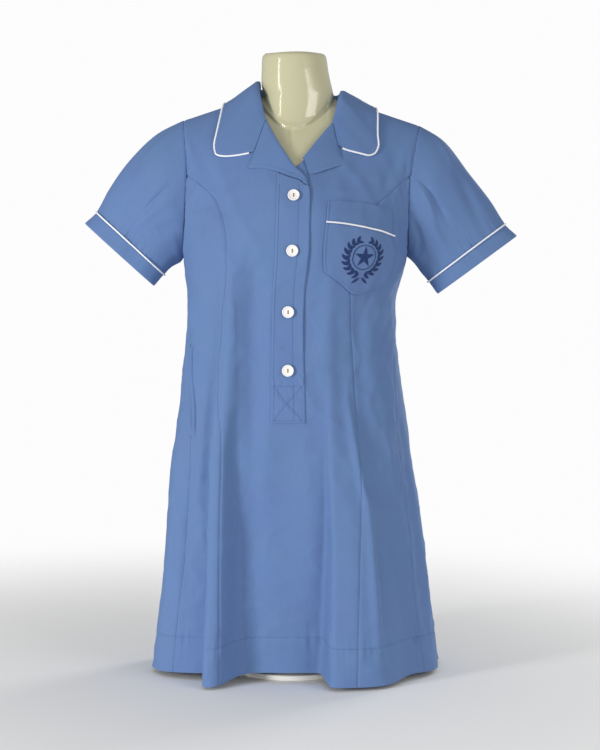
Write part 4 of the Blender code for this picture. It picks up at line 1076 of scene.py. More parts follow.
def shell_of(name, rows, cloth, seams, bind, profile):
    """A turned-back piece: the same rise, roll and fall as its solid, in closer steps.

    A wave 50 mm long grows towards its edge, and a line of stitching sinks beside the edge.
    """
    wave_height, wave_length = 0.00035, 0.05
    outer = rolled_fine(rows, profile)
    out = grid_normals(outer)
    along = np.linspace(0, 1, len(outer))[:, None] * np.ones(outer.shape[1]) * lengths(outer)[-1].mean()
    wave = wave_height * np.sin(along * 2 * math.pi / wave_length + 1.7)
    run = widths(outer)
    edge = run[:, -1:] - run
    height = wave * np.linspace(0, 1, outer.shape[1]) - STITCH_DIP * bell(edge - TURNED_INSET, 0.0012)
    height = height - 0.0005 * np.exp(-edge / 0.001)
    height += seam_dip(outer, along, seams, dip=0.0004, reach=0.0015, pucker=0)
    outer = outer + height[..., None] * out
    inner = outer - WALL * out
    uv = np.stack([along, run], -1)
    made = grid_mesh(name, draw_in(outer, seams), draw_in(inner, seams), cloth, uv)
    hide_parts(*bind)
    return made, outer


def rolled_fine(rows, profile):
    """Outer points of a piece that rises from the neckline, rolls over and lies back on the dress."""
    neck = over(rows["neck_girth"], rows["neck_level"])
    out = normals(*neck)
    run = np.gradient(body(*neck), axis=0)
    into_neck = unit(np.cross(run, out))
    upright = rows.get("upright", np.zeros(len(run)))[:, None]
    rise = unit(out * (1 - upright) + np.array([0, 0, 1.0]) * upright)
    under = rows["under"][:, None]
    columns = []
    for across, inward, height, lift in each(profile):
        girth = rows["neck_girth"] + across * (rows["edge_girth"] - rows["neck_girth"])
        level = rows["neck_level"] + across * (rows["edge_level"] - rows["neck_level"])
        place_on = over(girth, level)
        base = body(*place_on) + (lift + under * across) * normals(*place_on)
        columns.append(base + inward * into_neck + height * rows["roll"][:, None] * rise)
    return np.stack(columns, axis=1)


# The collar's roll leans to the neck at the right shoulder and sinks a little at the left one
LEANS = table(
    "x y z reach to_x to_z",
    (-0.061, -0.030, 0.928, 0.020, 0.0060, 0.0005),
    (0.075, -0.030, 0.917, 0.018, 0.0010, -0.0040),
)


def lean(piece):
    """Moves the cloth about each place of LEANS, less and less with the distance from it."""
    vertices = piece.data.vertices
    points = np.empty(len(vertices) * 3)
    vertices.foreach_get("co", points)
    points = points.reshape(-1, 3)
    for x, y, z, reach, to_x, to_z in each(LEANS):
        apart = ((points - [x, y, z]) ** 2).sum(axis=1) / reach**2
        points = points + np.exp(-apart)[:, None] * [to_x, 0, to_z]
    vertices.foreach_set("co", points.ravel())
    piece.data.update()


def collar_and_lapels(cloth, white):
    """The revers and the collar with its piping; gives the path of the stitching along each of them."""
    profile = smoothed(ROLLED, 4)
    rows = smoothed(COLLAR, 8)
    right, right_points = shell_of("lapel_wearer_right", smoothed(LAPEL_RIGHT, 6), cloth, "last",
                                   ["lapel_right"], profile)
    left, left_points = shell_of("lapel_wearer_left", smoothed(LAPEL_LEFT, 6), cloth, "first",
                                 ["lapel_left"], profile)
    collar, points = shell_of("collar_turned", rows, cloth, "first last", ["collar"], profile)
    lean(collar)
    out = normals(*over(rows["edge_girth"], rows["edge_level"]))
    cord(white, "collar_cord", edge_path(points[:, -1], out, -1)[3:-3], ["collar_piping"])
    for piece in (right_points, left_points, points):
        run = widths(piece)
        inset = run[:, -1] - TURNED_INSET
        beside = np.array([[np.interp(inset[i], run[i], piece[i, :, k]) for k in range(3)]
                           for i in range(2, len(piece) - 2)])
        yield beside, grid_normals(piece)[2:-2, -3]


def cord(finish, name, path, bind, closed=False, sides=12):
    """A round covered cord along a path: it swells a little every 6 mm, with the twist of its cover."""
    run = np.roll(path, -1, axis=0) - np.roll(path, 1, axis=0) if closed else np.gradient(path, axis=0)
    run = unit(run)
    across = unit(np.cross(run, np.broadcast_to([0.0, -1.0, 0.3], run.shape)))
    upward = np.cross(across, run)
    turn = np.linspace(0, 2 * math.pi, sides, endpoint=False)
    along = lengths(path)
    size = PIPING_RADIUS * (1 + 0.05 * np.sin(along * 2 * math.pi / 0.006))[:, None, None]
    ring = np.cos(turn)[None, :, None] * across[:, None] + np.sin(turn)[None, :, None] * upward[:, None]
    points = path[:, None] + size * ring
    if not closed:
        start, end = (path[k, None, None] + 0 * points[:1] for k in (0, -1))
        points = np.concatenate([start, points, end])
        along = np.concatenate([[0], along, [along[-1]]])
    count = len(points)
    i, k = np.meshgrid(np.arange(count if closed else count - 1), np.arange(sides), indexing="ij")
    a, b = i * sides + k, i * sides + (k + 1) % sides
    c, d = (a + sides) % (count * sides), (b + sides) % (count * sides)
    faces = np.stack([a, c, d, b], -1).reshape(-1, 4)
    uv = np.stack([np.repeat(along, sides), np.tile(turn / (2 * math.pi) * 0.009, count)], -1)
    made = build_mesh(name, points.reshape(-1, 3), faces, finish, uv)
    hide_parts(*bind)


def sleeves(cloth, white):
    """Each sleeve with its cuff: the solid's ovals in closer steps, with folds, gathers and a wavy cuff.

    The gathers are many waves round the sleeve that fade upward from the cuff's seam, with finer ones at
    its head. At both seams and at the cuff's edge the cloth sinks.
    """
    gather_count, gather_height, seam_depth = 37, 0.0008, 0.0009
    # Metres of cloth round a sleeve and down it
    girth, length = 0.36, 0.24
    close = [0.01, 0.02, CUFF_SHARE - 0.012, CUFF_SHARE - 0.006, CUFF_SHARE + 0.006, 0.99]
    shares = np.unique(np.concatenate([np.linspace(0, 1, 61), close]))
    seam = int(np.argmin(np.abs(shares - CUFF_SHARE)))
    share, above = shares[None, :], CUFF_SHARE - shares[None, :]
    for side, phase in (("right", 0.0), ("left", 2.3)):
        points, outward = (refine_ring(grid, 4) for grid in sleeve_grid(side, shares))
        out = grid_normals(points, ring=True)
        out[:, 0] = unit(outward[:, 0])
        count = len(points)
        round_it = np.arange(count)[:, None] / count
        turn = round_it * 2 * math.pi
        folds = sleeve_folds(round_it, share, phase) * ramp(share / 0.12)
        gathers = np.sin(turn * gather_count + 2.2 * np.sin(turn * 7 + phase))
        gathers = gather_height * gathers * np.exp(-ramp(above) / 0.06) * (above > 0) * ramp(above / 0.01)
        cuff_wave = 0.0007 * np.sin(turn * 7 + 9 * share + phase) * (above < 0)
        dip = -seam_depth * bell(share, 0.012) - seam_depth * bell(above, 0.007)
        edge = -0.0006 * bell(1 - share, 0.006)
        cap = 0.00035 * np.sin(turn * 31 + phase) * np.exp(-share / 0.04)
        height = folds + gathers + cuff_wave + dip + edge + cap
        points = points + height[..., None] * out
        # The armhole's seam: a gap sideways, and upward under the arm
        under_arm = ramp(-out[:, 0, 2])
        points[:, 0] += SEAM_GAP * np.stack([np.full(count, SIGNS[side]), np.zeros(count), under_arm], -1)
        inner = points - WALL * out
        spread = np.stack([round_it * girth + 0 * share, share * length + 0 * round_it], -1)
        for name, rows, seams, solid, flat, area in (
            (f"sleeve_shell_{side}", slice(0, seam + 1), "top", f"sleeve_{side}", (0.52, 0.21), 0.057),
            (f"cuff_band_{side}", slice(seam, None), "bottom", f"cuff_{side}", (0.37, 0.027), 0.0098),
        ):
            made = grid_mesh(name, draw_in(points[:, rows], seams), draw_in(inner[:, rows], seams),
                             cloth, spread[:, rows], ring=True)
            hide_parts(solid)
        path = points[:, seam] + (PIPING_RADIUS + SEAM_GAP + 0.0006) * out[:, seam]
        cord(white, f"cuff_cord_{side}", path, [f"cuff_piping_{side}"], closed=True)


def refine_ring(points, parts):
    """More points between those of a closed ring, on a smooth curve through them."""
    before, after = np.roll(points, 1, axis=0), np.roll(points, -1, axis=0)
    beyond = np.roll(points, -2, axis=0)
    pieces = []
    for k in range(parts):
        t = k / parts
        pieces.append(0.5 * (2 * points + (after - before) * t
                             + (2 * before - 5 * points + 4 * after - beyond) * t**2
                             + (3 * points - before - 3 * after + beyond) * t**3))
    return np.stack(pieces, axis=1).reshape(-1, *points.shape[1:])


# Folds across the sleeves: share of the way round and down where each runs, how wide, and how high
SLEEVE_FOLDS = table(
    "round_it share to_round to_share width height",
    (0.20, 0.08, 0.28, 0.62, 0.022, -0.0036),
    (0.26, 0.12, 0.33, 0.50, 0.018, 0.0030),
    (0.10, 0.30, 0.15, 0.84, 0.020, -0.0033),
    (0.05, 0.10, 0.12, 0.45, 0.018, 0.0027),
    (0.34, 0.30, 0.36, 0.80, 0.018, 0.0030),
    (0.38, 0.06, 0.42, 0.45, 0.020, -0.0033),
    (0.46, 0.12, 0.44, 0.72, 0.020, 0.0030),
    (0.56, 0.10, 0.62, 0.60, 0.022, -0.0036),
    (0.66, 0.20, 0.70, 0.76, 0.020, 0.0030),
    (0.76, 0.10, 0.73, 0.55, 0.020, -0.0030),
    (0.84, 0.20, 0.82, 0.80, 0.020, 0.0030),
    (0.93, 0.08, 0.88, 0.50, 0.018, -0.0030),
)


def sleeve_folds(round_it, share, phase):
    """Height of the sleeve's cloth: three slow waves that grow towards the cuff, and the table's folds."""
    total = 0.0008 * np.sin(round_it * 2 * math.pi * 3 + share * 5 + phase) * share
    for start, low, end, high, width, height in each(SLEEVE_FOLDS):
        run = np.array([end - start, (high - low) * 0.6])
        x = (round_it - start + 0.5) % 1 - 0.5
        total = total + line_ridge(x, (share - low) * 0.6, run, width, height, 0.05, 0.7)
    return total


def two_of(rows, names, share):
    """Values of two columns of a pocket's table at each share."""
    return [read(rows, name, share, "share") for name in names]


def pocket_place(low, high, across, share):
    """Girth and level on the pocket between two of its named lines."""
    bottom, top = two_of(POCKET_LEVELS, (low, high), across)
    level = bottom + (top - bottom) * share
    foot, head = two_of(POCKET_LEVELS, ("foot", "top"), across)
    right, left = two_of(POCKET_SIDES, ("right", "left"), (level - foot) / (head - foot))
    return right + (left - right) * across, level


def pocket_full(girth, level):
    """How far the pocket's cloth stands off at a place: most at its foot, and not at all at its seam."""
    across = np.full(np.shape(girth), 0.5)
    # The share across and the foot's level depend on each other, so they are closed in on
    for _ in range(6):
        foot, head = two_of(POCKET_LEVELS, ("foot", "top"), across)
        right, left = two_of(POCKET_SIDES, ("right", "left"), ramp((level - foot) / (head - foot)))
        across = ramp((girth - right) / (left - right))
    seam = read(POCKET_LEVELS, "seam", across, "share")
    return POCKET_FULLNESS * (1 - ramp((level - foot) / (seam - foot)))


def pocket(cloth, white):
    """The chest pocket's body, fuller towards its foot, the band along its top, and the band's piping."""
    across = whole(48)[:, None]
    share = whole(36)[None, :]
    girth, level = pocket_place("foot", "seam", across, share)
    body_piece = cloth_piece("pocket_body", girth, level, cloth, "top",
                             UPPER_LIFT + POCKET_FULLNESS * (1 - share),
                             shaped=edge_fall(across, share, height=0.10), bind=["chest_pocket"])
    share = whole(12)[None, :]
    girth, level = pocket_place("seam", "top", across, share)
    lift = UPPER_LIFT + BAND_LIFT
    band = cloth_piece("pocket_top_band", girth, level, cloth, "bottom", lift,
                       shaped=edge_fall(across, share, height=0.04), bind=["pocket_band"])
    path, _ = on_dress(girth[:, 0], level[:, 0], lift + PIPING_RADIUS + SEAM_GAP - 0.0004)
    cord(white, "pocket_cord", path, ["pocket_piping"])


def edge_fall(across, share, height, width=0.11):
    """Rounding of the pocket's outer edges, and the dip of the stitching 3 mm in from its sides."""
    fall = 0
    for away in (across * width, (1 - across) * width):
        fall = fall - 0.0006 * bell(away, 0.0010) - STITCH_DIP * bell(away - 0.003, 0.001)
    return fall - 0.0006 * bell(np.minimum(share, 1) * height, 0.0010) * np.ones_like(across)


def on_dress(girth, level, lift):
    """Points lifted off the creased cloth, and the directions out of it."""
    points, out = dress(np.asarray(girth, float), np.asarray(level, float))
    return points + np.asarray(lift)[..., None] * out, out


def spaced(points, out, pitch):
    """Stitch ends along a path at an even pitch, each with its outward direction."""
    along = lengths(points)
    marks = np.linspace(0, along[-1], max(int(along[-1] / pitch), 1) + 1)
    place, up = (np.stack([np.interp(marks, along, of[:, k]) for k in range(3)], -1)
                 for of in (points, out))
    return place, unit(up)


class Stitches:
    """Gathers short stitches of one thread, each a small spindle bowed up from the cloth."""

    def __init__(self, radius=STITCH_RADIUS, length=STITCH_LENGTH):
        self.radius, self.length = radius, length
        self.points, self.count = [], 0

    def row(self, points, out, rise=0.0002):
        """Add the stitches of one path: each has a ring of four points at both ends and in the middle."""
        place, up = spaced(points, out, self.length * 1.22)
        start = place[:-1] * (1 - STITCH_SPACE) + place[1:] * STITCH_SPACE
        end = place[:-1] * STITCH_SPACE + place[1:] * (1 - STITCH_SPACE)
        run, lift = unit(end - start), up[:-1]
        side = unit(np.cross(run, lift))
        rings = []
        for share, size, height in ((0.0, 0.45, -0.25), (0.5, 1.0, 1.0), (1.0, 0.45, -0.25)):
            centre = start + (end - start) * share + lift * rise * height
            for turn in (0, 1, 2, 3):
                around = math.cos(turn * math.pi / 2) * side + math.sin(turn * math.pi / 2) * lift
                rings.append(centre + around * self.radius * size)
        self.points.append(np.stack(rings, axis=1).reshape(-1, 3))
        self.count += len(start)

    def build(self, name, finish):
        """One mesh of all the stitches."""
        one = [(row + k, row + (k + 1) % 4, row + 4 + (k + 1) % 4, row + 4 + k)
               for row in (0, 4) for k in range(4)]
        one += [(3, 2, 1, 0), (8, 9, 10, 11)]
        faces = (np.array(one)[None, :, ::-1] + 12 * np.arange(self.count)[:, None, None]).reshape(-1, 4)
        return build_mesh(name, np.concatenate(self.points), faces, finish)


def sew(thread, turned_lines):
    """Rows of stitching: placket and its crossed box, hem, pocket, side pocket, collar and lapels."""
    rows = Stitches()
    level = np.linspace(SLOT_BOTTOM - 0.002, PLACKET_STITCH_TOP, 120)
    for start, inset in ((SLOT_RIGHT - PLACKET_LAP, PLACKET_INSETS[0]),
                         (SLOT_LEFT + PLACKET_LAP / 2, -PLACKET_INSETS[1])):
        rows.row(*on_dress(np.full(len(level), start + inset / GIRTH_LENGTH), level, UPPER_LIFT))
    corners = np.array([(girth, level) for level in (BOX_LOW, BOX_HIGH) for girth in (BOX_RIGHT, BOX_LEFT)])
    for start, end in ((0, 1), (2, 3), (0, 3), (2, 1), (1, 3)):
        line = corners[start] + (corners[end] - corners[start]) * np.linspace(0, 1, 24)[:, None]
        rows.row(*on_dress(line[:, 0], line[:, 1], UPPER_LIFT))
    girth = np.linspace(-1.999, 1.999, 1200)
    rows.row(*on_dress(girth, np.full(len(girth), HEM_DEPTH), STITCH_DIP * 0.6))
    # Down one side of the pocket, along its foot and up the other side, a small share in from the edges
    inset, foot = 0.027, 0.03
    across = np.concatenate([np.full(30, inset), np.linspace(inset, 1 - inset, 60), np.full(30, 1 - inset)])
    share = np.concatenate([np.linspace(1, foot, 30), np.full(60, foot), np.linspace(foot, 1, 30)])
    girth, level = pocket_place("foot", "top", across, share)
    rows.row(*on_dress(girth, level, UPPER_LIFT + pocket_full(girth, level)))
    level = np.linspace(MOUTH_LOW - 0.002, MOUTH_HIGH + 0.002, 40)
    beside = MOUTH_LINES[1][0] / GIRTH_LENGTH
    rows.row(*on_dress(line_of(SIDE_SEAMS, "right", level) + beside, level, 0.0008))
    for points, out in turned_lines:
        rows.row(points, out)
    rows.build("stitching", thread)


def emblem(thread):
    """A made-up badge in satin stitch: a star within a cord ring, and leaves on two twigs round it."""
    wreath, ring, star = 0.0275, 0.0195, 0.0165
    shapes = []

    def blade(x, y, heading, length, width, rows=9, columns=5, straight=False):
        """Add a leaf, swollen like a half sine wave, or an arm of the star, with straight sides. Its
        thread rises towards the middle line."""
        share, side = np.linspace(0, 1, rows)[:, None], np.linspace(-1, 1, columns)[None, :]
        spread = np.sin(math.pi * ramp(share * 0.96 + 0.02)) ** 0.8
        if straight:
            spread = np.minimum(share / 0.30, (1 - share) / 0.70) + 0.01
        half = width / 2 * spread * side
        along = share * length + 0 * side
        u = x + along * math.cos(heading) - half * math.sin(heading)
        v = y + along * math.sin(heading) + half * math.cos(heading)
        shapes.append((u, v, 0.00045 * (1 - side**2) + 0.00018 + 0 * share))

    for mirror in (-1, 1):
        for k in range(9):
            turn = math.radians(-80 + 17.5 * k)
            x, y = mirror * wreath * math.cos(turn), wreath * math.sin(turn)
            ahead = turn + math.pi / 2
            # A leaf to each side, and a length of the twig
            for aside, *size in ((-0.55, 0.0115, 0.0046), (0.55, 0.0105, 0.0046),
                                 (0, 0.0080, 0.0016, 5, 3)):
                heading = ahead + aside
                blade(x, y, heading if mirror > 0 else math.pi - heading, *size)
    for k in range(5):
        blade(0, 0, math.radians(90 + 72 * k), star, 0.0076, straight=True)
    for k in range(40):
        turn = 2 * math.pi * k / 40
        heading = turn + math.pi / 2 + 0.5
        blade(ring * math.cos(turn), ring * math.sin(turn), heading, 0.0040, 0.0014, rows=5, columns=3)
    # The ends of the twigs, crossed below
    blade(-0.0015, -0.031, math.radians(215), 0.0150, 0.0042)
    blade(0.0015, -0.031, math.radians(-35), 0.0150, 0.0042)
    points, faces, count = [], [], 0
    for u, v, height in shapes:
        points += badge_patch(u, v, height)
        rows, columns = u.shape
        size = rows * columns
        i, j = np.meshgrid(np.arange(rows - 1), np.arange(columns - 1), indexing="ij")
        a = count + i * columns + j
        top = np.stack([a, a + 1, a + columns + 1, a + columns], -1).reshape(-1, 4)
        # The shape's rim, once round
        rim = np.concatenate([np.arange(columns), np.arange(1, rows) * columns + columns - 1,
                              size - 2 - np.arange(columns - 1), np.arange(rows - 2, 0, -1) * columns])
        rim, ahead = count + rim, count + np.roll(rim, -1)
        side = np.stack([rim, rim + size, ahead + size, ahead], -1)
        faces += [top[:, ::-1], top + size, side[:, ::-1]]
        count += 2 * size
    build_mesh("pocket_emblem", np.concatenate(points), np.concatenate(faces), thread)


def badge_patch(u, v, height, centre=(0.372, 0.6440)):
    """Outer and inner points of one stitched shape, from metres across and up about the badge's middle."""
    girth, level = centre
    wide = np.linalg.norm(body(girth + 0.01, level) - body(girth - 0.01, level)) / 0.02
    tall = np.linalg.norm(body(girth, level + 0.01) - body(girth, level - 0.01)) / 0.02
    girth, level = girth + u / wide, level + v / tall
    lift = UPPER_LIFT + pocket_full(girth, level)
    upper, _ = on_dress(girth, level, lift + height)
    lower, _ = on_dress(girth, level, lift - 0.0003 + 0 * height)
    return [upper.reshape(-1, 3), lower.reshape(-1, 3)]


def turned_solid(name, profile, centre, axis, finish, sides=48, bind=()):
    """A closed solid turned about an axis from radius and height pairs, bottom to top."""
    axis = unit(np.array(axis, float))
    across = unit(np.cross(axis, [0, 1, 0] if abs(axis[2]) > 0.9 else [0, 0, 1]))
    upward = np.cross(axis, across)
    turn = np.linspace(0, 2 * math.pi, sides, endpoint=False)
    ring = np.cos(turn)[:, None] * across + np.sin(turn)[:, None] * upward
    # Both ends close in a ring too small to see
    profile = [(0.00002, profile[0][1])] + list(profile) + [(0.00002, profile[-1][1])]
    points = np.concatenate([centre + radius * ring + height * axis for radius, height in profile])
    made = build_mesh(name, points, tube_faces(len(profile), sides), finish)
    if bind:
        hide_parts(*bind)


# Section of a button, from its foot over the raised rim into its well: shares of radius and thickness
BUTTON_SECTION = table(
    "radius height",
    (0.80, 0), (0.93, 0.12), (0.99, 0.35), (1, 0.55), (0.985, 0.78), (0.95, 0.93),
    (0.90, 1), (0.84, 0.98), (0.78, 0.86), (0.72, 0.72), (0.64, 0.66), (0.30, BUTTON_WELL),
)


def buttons(shell, hole_shadow_paint, thread):
    """Two-holed buttons with a raised rim, sewn on with upright strands. At each of their holes a thin dark
    disc sits on the well's floor: painted shade for the shadow down the drilled holes.
    """
    profile = [(BUTTON_RADIUS * r, BUTTON_THICKNESS * h) for r, h in each(BUTTON_SECTION)]
    strands = Stitches(radius=0.00042, length=0.0042)
    hole_place, strand_end = 0.0021, 0.0026
    for number, level in enumerate(BUTTON_LEVELS, 1):
        spot, out = dress(BUTTON_GIRTH, level)
        base = spot + (UPPER_LIFT + 0.0005) * out
        turned_solid(f"button_face_{number}", profile, base, out, shell, 48, [f"button_{number}"])
        up = unit(np.cross(np.cross(out, [0, 0, 1.0]), out))
        face = base + out * (BUTTON_THICKNESS * BUTTON_WELL)
        # Two thin dark discs on the well's floor, in the painted shade finish, stand for the shadow inside
        # the holes
        for sign, word in ((-1, "low"), (1, "high")):
            turned_solid(f"button_hole_shadow_{number}_{word}", [(0.0010, 0.0), (0.00095, 0.00012)],
                         face + sign * hole_place * up, out, hole_shadow_paint, 20)
        side = np.cross(up, out)
        for shift in (-0.0006, 0.0, 0.0006):
            ends = face + side * shift + out * 0.0003 + np.array([-strand_end, strand_end])[:, None] * up
            strands.row(ends, np.stack([out, out]), rise=0.0004)
    strands.build("button_thread", thread)


def torso(plastic, sides=192):
    """The form in closer rings, with its moulded rim's ripple and the hollow at the base of its throat."""
    # Rings lie closest from the chest to the neck, and the last ones where the neck's edge rounds over
    rounding = 0.9620
    heights = np.unique(np.concatenate([
        np.linspace(FORM_BOTTOM, 0.745, 46), np.linspace(0.745, 0.935, 128),
        np.linspace(0.935, rounding, 9), rounding + (NECK_TOP - rounding) * np.linspace(0, 1, 10) ** 0.7,
    ]).round(5))
    turn = np.linspace(0, 2 * math.pi, sides, endpoint=False)
    points = np.stack([form_ring(height, turn) for height in heights])
    front = -(points[..., 1] + FORM_FORWARD) > 0.01
    x, z = points[..., 0], points[..., 2]
    # The neck ends in a line like a U; the chest starts a little behind it and comes forward again
    throat, throat_curve, throat_half, throat_depth = 0.8476, 17, 0.056, 0.0056
    below = throat + throat_curve * x**2 - z
    recess = ramp(below / 0.004) * np.exp(-ramp(below) / 0.022) * front
    # A short upright groove in the middle, under the U
    groove_foot, groove_depth = 0.812, 0.0026
    groove = bell(x + 0.005, 0.0036) * (ramp(below / 0.003) * ramp((z - groove_foot) / 0.014)) * front
    recess = recess * ramp((throat_half - np.abs(x)) / 0.006)
    points[..., 1] += throat_depth * recess + groove_depth * groove
    points[-1, :, 2] += 0.0006 * np.sin(3 * turn + 1)
    # Flat ends, in rings that shrink to their middles
    middle, foot = points[-1].mean(axis=0), points[0].mean(axis=0)
    top = [middle + (points[-1] - middle) * share + [0, 0, 0.0004] for share in (0.85, 0.5, 0.001)]
    bottom = [foot + (points[0] - foot) * share for share in (0.001, 0.6)]
    points = np.concatenate([np.stack(bottom), points, np.stack(top)])
    made = build_mesh("torso_moulding", points.reshape(-1, 3), tube_faces(len(points), sides), plastic)
    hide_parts("torso_form")


def stand(coated, steel, edge=0.002):
    """A round plate with a boss, and a tube with a flange under the form, both with eased edges."""
    floor, upright = np.zeros(3), (0, 0, 1)
    base = [(BASE_RADIUS - 0.0006, 0), (BASE_RADIUS, 0.0006), (BASE_RADIUS, BASE_THICKNESS - edge),
            (BASE_RADIUS - edge * 0.3, BASE_THICKNESS - edge * 0.3), (BASE_RADIUS - edge, BASE_THICKNESS),
            (BOSS_RADIUS + 0.001, BASE_THICKNESS), (BOSS_RADIUS, BASE_THICKNESS + 0.001),
            (BOSS_RADIUS, BOSS_TOP - edge), (BOSS_RADIUS - edge, BOSS_TOP)]
    turned_solid("stand_foot", base, floor, upright, coated, 96, ["stand_base"])
    top = FORM_BOTTOM - SEAM_GAP
    under = top - FLANGE_THICKNESS
    pole = [(POLE_RADIUS, BOSS_TOP + SEAM_GAP), (POLE_RADIUS, under), (FLANGE_RADIUS - 0.0008, under),
            (FLANGE_RADIUS, under + 0.0008), (FLANGE_RADIUS, top)]
    turned_solid("stand_tube", pole, floor, upright, steel, 64, ["stand_pole"])


def linear(code):
    """Linear colour of an sRGB hex code."""
    values = [int(code[k:k + 2], 16) / 255 for k in (1, 3, 5)]
    return tuple(v / 12.92 if v <= 0.04045 else ((v + 0.055) / 1.055) ** 2.4 for v in values) + (1.0,)


def add(tree, kind, settings=(), links=()):
    """A node of a kind, with its properties and input values set and its inputs linked."""
    node = tree.nodes.new(kind)
    for name, value in dict(settings).items():
        if isinstance(name, str) and hasattr(node, name):
            setattr(node, name, value)
        else:
            node.inputs[name].default_value = value
    for name, socket in dict(links).items():
        tree.links.new(socket, node.inputs[name])
    return node


def finish_of(name, colour, roughness, **more):
    """A material and its nodes, with its shader's values set; their names have _ for a space."""
    made = bpy.data.materials.new(name)
    made.use_nodes = True
    shader = made.node_tree.nodes["Principled BSDF"]
    values = {"Base_Color": linear(colour), "Roughness": roughness, "Metallic": 0.0, "IOR": 1.5, **more}
    for key, value in values.items():
        shader.inputs[key.replace("_", " ")].default_value = value
    return made, made.node_tree, shader


def poplin():
    """Polyester-cotton poplin, piece-dyed and pressed: close plain weave, faint slubs and a soft sheen."""
    made, tree, shader = finish_of("poplin_shown", "#607daa", 0.78, IOR=1.46, Specular_IOR_Level=0.35,
                                   Sheen_Weight=0.12, Sheen_Roughness=0.45, Sheen_Tint=linear("#8fa9e0"))
    uv = add(tree, "ShaderNodeUVMap", {"uv_map": "cloth"}).outputs["UV"]
    # Threads lie 0.3 mm apart, and a plain weave repeats every two of them, 0.6 mm at this scale. It gives
    # the cloth its fine grain near by
    warp, weft = (add(tree, "ShaderNodeTexWave", {"bands_direction": way, "Scale": 520.0, "Distortion": 0.6,
                                                  "Detail": 1.0}, {"Vector": uv}) for way in "XY")
    weave = add(tree, "ShaderNodeMix", {"data_type": "FLOAT", 0: 0.5},
                {2: warp.outputs["Fac"], 3: weft.outputs["Fac"]})
    # Slubs: streaks 1 mm wide and some 17 mm long up the warp, which keep the blue from looking flat
    stretch = add(tree, "ShaderNodeMapping", {"Scale": (900.0, 60.0, 1.0)}, {"Vector": uv})
    slub = add(tree, "ShaderNodeTexNoise", {"Scale": 1.0, "Detail": 3.0},
               {"Vector": stretch.outputs["Vector"]})
    shade = add(tree, "ShaderNodeMix", {"data_type": "RGBA", 6: linear("#5c79a9"), 7: linear("#6683b3")},
                {0: slub.outputs["Fac"]})
    # Broad clouds of tone, some 110 mm across, as dyed cloth has
    wide = add(tree, "ShaderNodeTexNoise", {"Scale": 9.0, "Detail": 2.0}, {"Vector": uv})
    tone = add(tree, "ShaderNodeMix", {"data_type": "RGBA", "blend_type": "MULTIPLY", 0: 0.10},
               {6: shade.outputs[2], 7: wide.outputs["Color"]})
    bump = add(tree, "ShaderNodeBump", {"Strength": 0.18, "Distance": 0.00008},
               {"Height": weave.outputs[0]})
    tree.links.new(tone.outputs[2], shader.inputs["Base Color"])
    tree.links.new(bump.outputs["Normal"], shader.inputs["Normal"])
    return made


def plain_thread(name, colour, roughness=0.7):
    """Spun polyester thread, dyed: matt with a slight sheen."""
    return finish_of(name, colour, roughness, Sheen_Weight=0.2)[0]


def white_cord():
    """Bleached cotton bias tape over cord: matt white, with a fine diagonal rib 1.5 mm apart that catches
    the light."""
    made, tree, shader = finish_of("piping_shown", "#eef0f5", 0.75, IOR=1.46, Sheen_Weight=0.2)
    uv = add(tree, "ShaderNodeUVMap", {"uv_map": "cloth"}).outputs["UV"]
    rib = add(tree, "ShaderNodeTexWave", {"bands_direction": "DIAGONAL", "Scale": 300.0}, {"Vector": uv})
    bump = add(tree, "ShaderNodeBump", {"Strength": 0.2, "Distance": 0.0001},
               {"Height": rib.outputs["Fac"]})
    tree.links.new(bump.outputs["Normal"], shader.inputs["Normal"])
    return made


def moulded_plastic():
    """Blow-moulded polyethylene, pale cream, glossy from the mould: the highlights bend over soft ripples
    about 26 mm long, and a little light goes into the surface."""
    made, tree, shader = finish_of("moulding_shown", "#c7c3a0", 0.14, IOR=1.51, Coat_Weight=0.35,
                                   Coat_Roughness=0.08, Subsurface_Weight=0.05,
                                   Subsurface_Radius=(0.006, 0.005, 0.003), Subsurface_Scale=0.5)
    place_on = add(tree, "ShaderNodeTexCoord").outputs["Object"]
    ripple = add(tree, "ShaderNodeTexNoise", {"Scale": 38.0, "Detail": 2.0}, {"Vector": place_on})
    bump = add(tree, "ShaderNodeBump", {"Strength": 0.35, "Distance": 0.0012},
               {"Height": ripple.outputs["Fac"]})
    tree.links.new(bump.outputs["Normal"], shader.inputs["Normal"])
    return made


def pale_floor():
    """White-painted studio floor, matt, that fades away into the white walls beyond the dress."""
    made, tree, shader = finish_of("painted_floor", "#f7f7f6", 0.9)
    place_on = add(tree, "ShaderNodeTexCoord").outputs["Object"]
    far = add(tree, "ShaderNodeVectorMath", {"operation": "LENGTH"}, {0: place_on}).outputs["Value"]
    fade = add(tree, "ShaderNodeMapRange", {"interpolation_type": "SMOOTHERSTEP", "From Min": 0.15,
                                            "From Max": FLOOR_REACH}, {"Value": far}).outputs["Result"]
    clear = add(tree, "ShaderNodeBsdfTransparent").outputs["BSDF"]
    mix = add(tree, "ShaderNodeMixShader", {}, {0: fade, 1: shader.outputs["BSDF"], 2: clear})
    tree.links.new(mix.outputs["Shader"], tree.nodes["Material Output"].inputs["Surface"])
    return made


# Brightness of the studio's walls as a light and as seen by the camera
STUDIO_LIGHT = 0.40
STUDIO_WHITE = 0.98
FLOOR_REACH = 1.9

# The photograph's frame is 600 by 750, and 1327 pixels of it lie one metre apart at one metre
SENSOR_WIDTH = 36.0
CAMERA_LENS = SENSOR_WIDTH * 1327 / 750
CAMERA_PLACE = (0.0095, -2.12, 0.467)

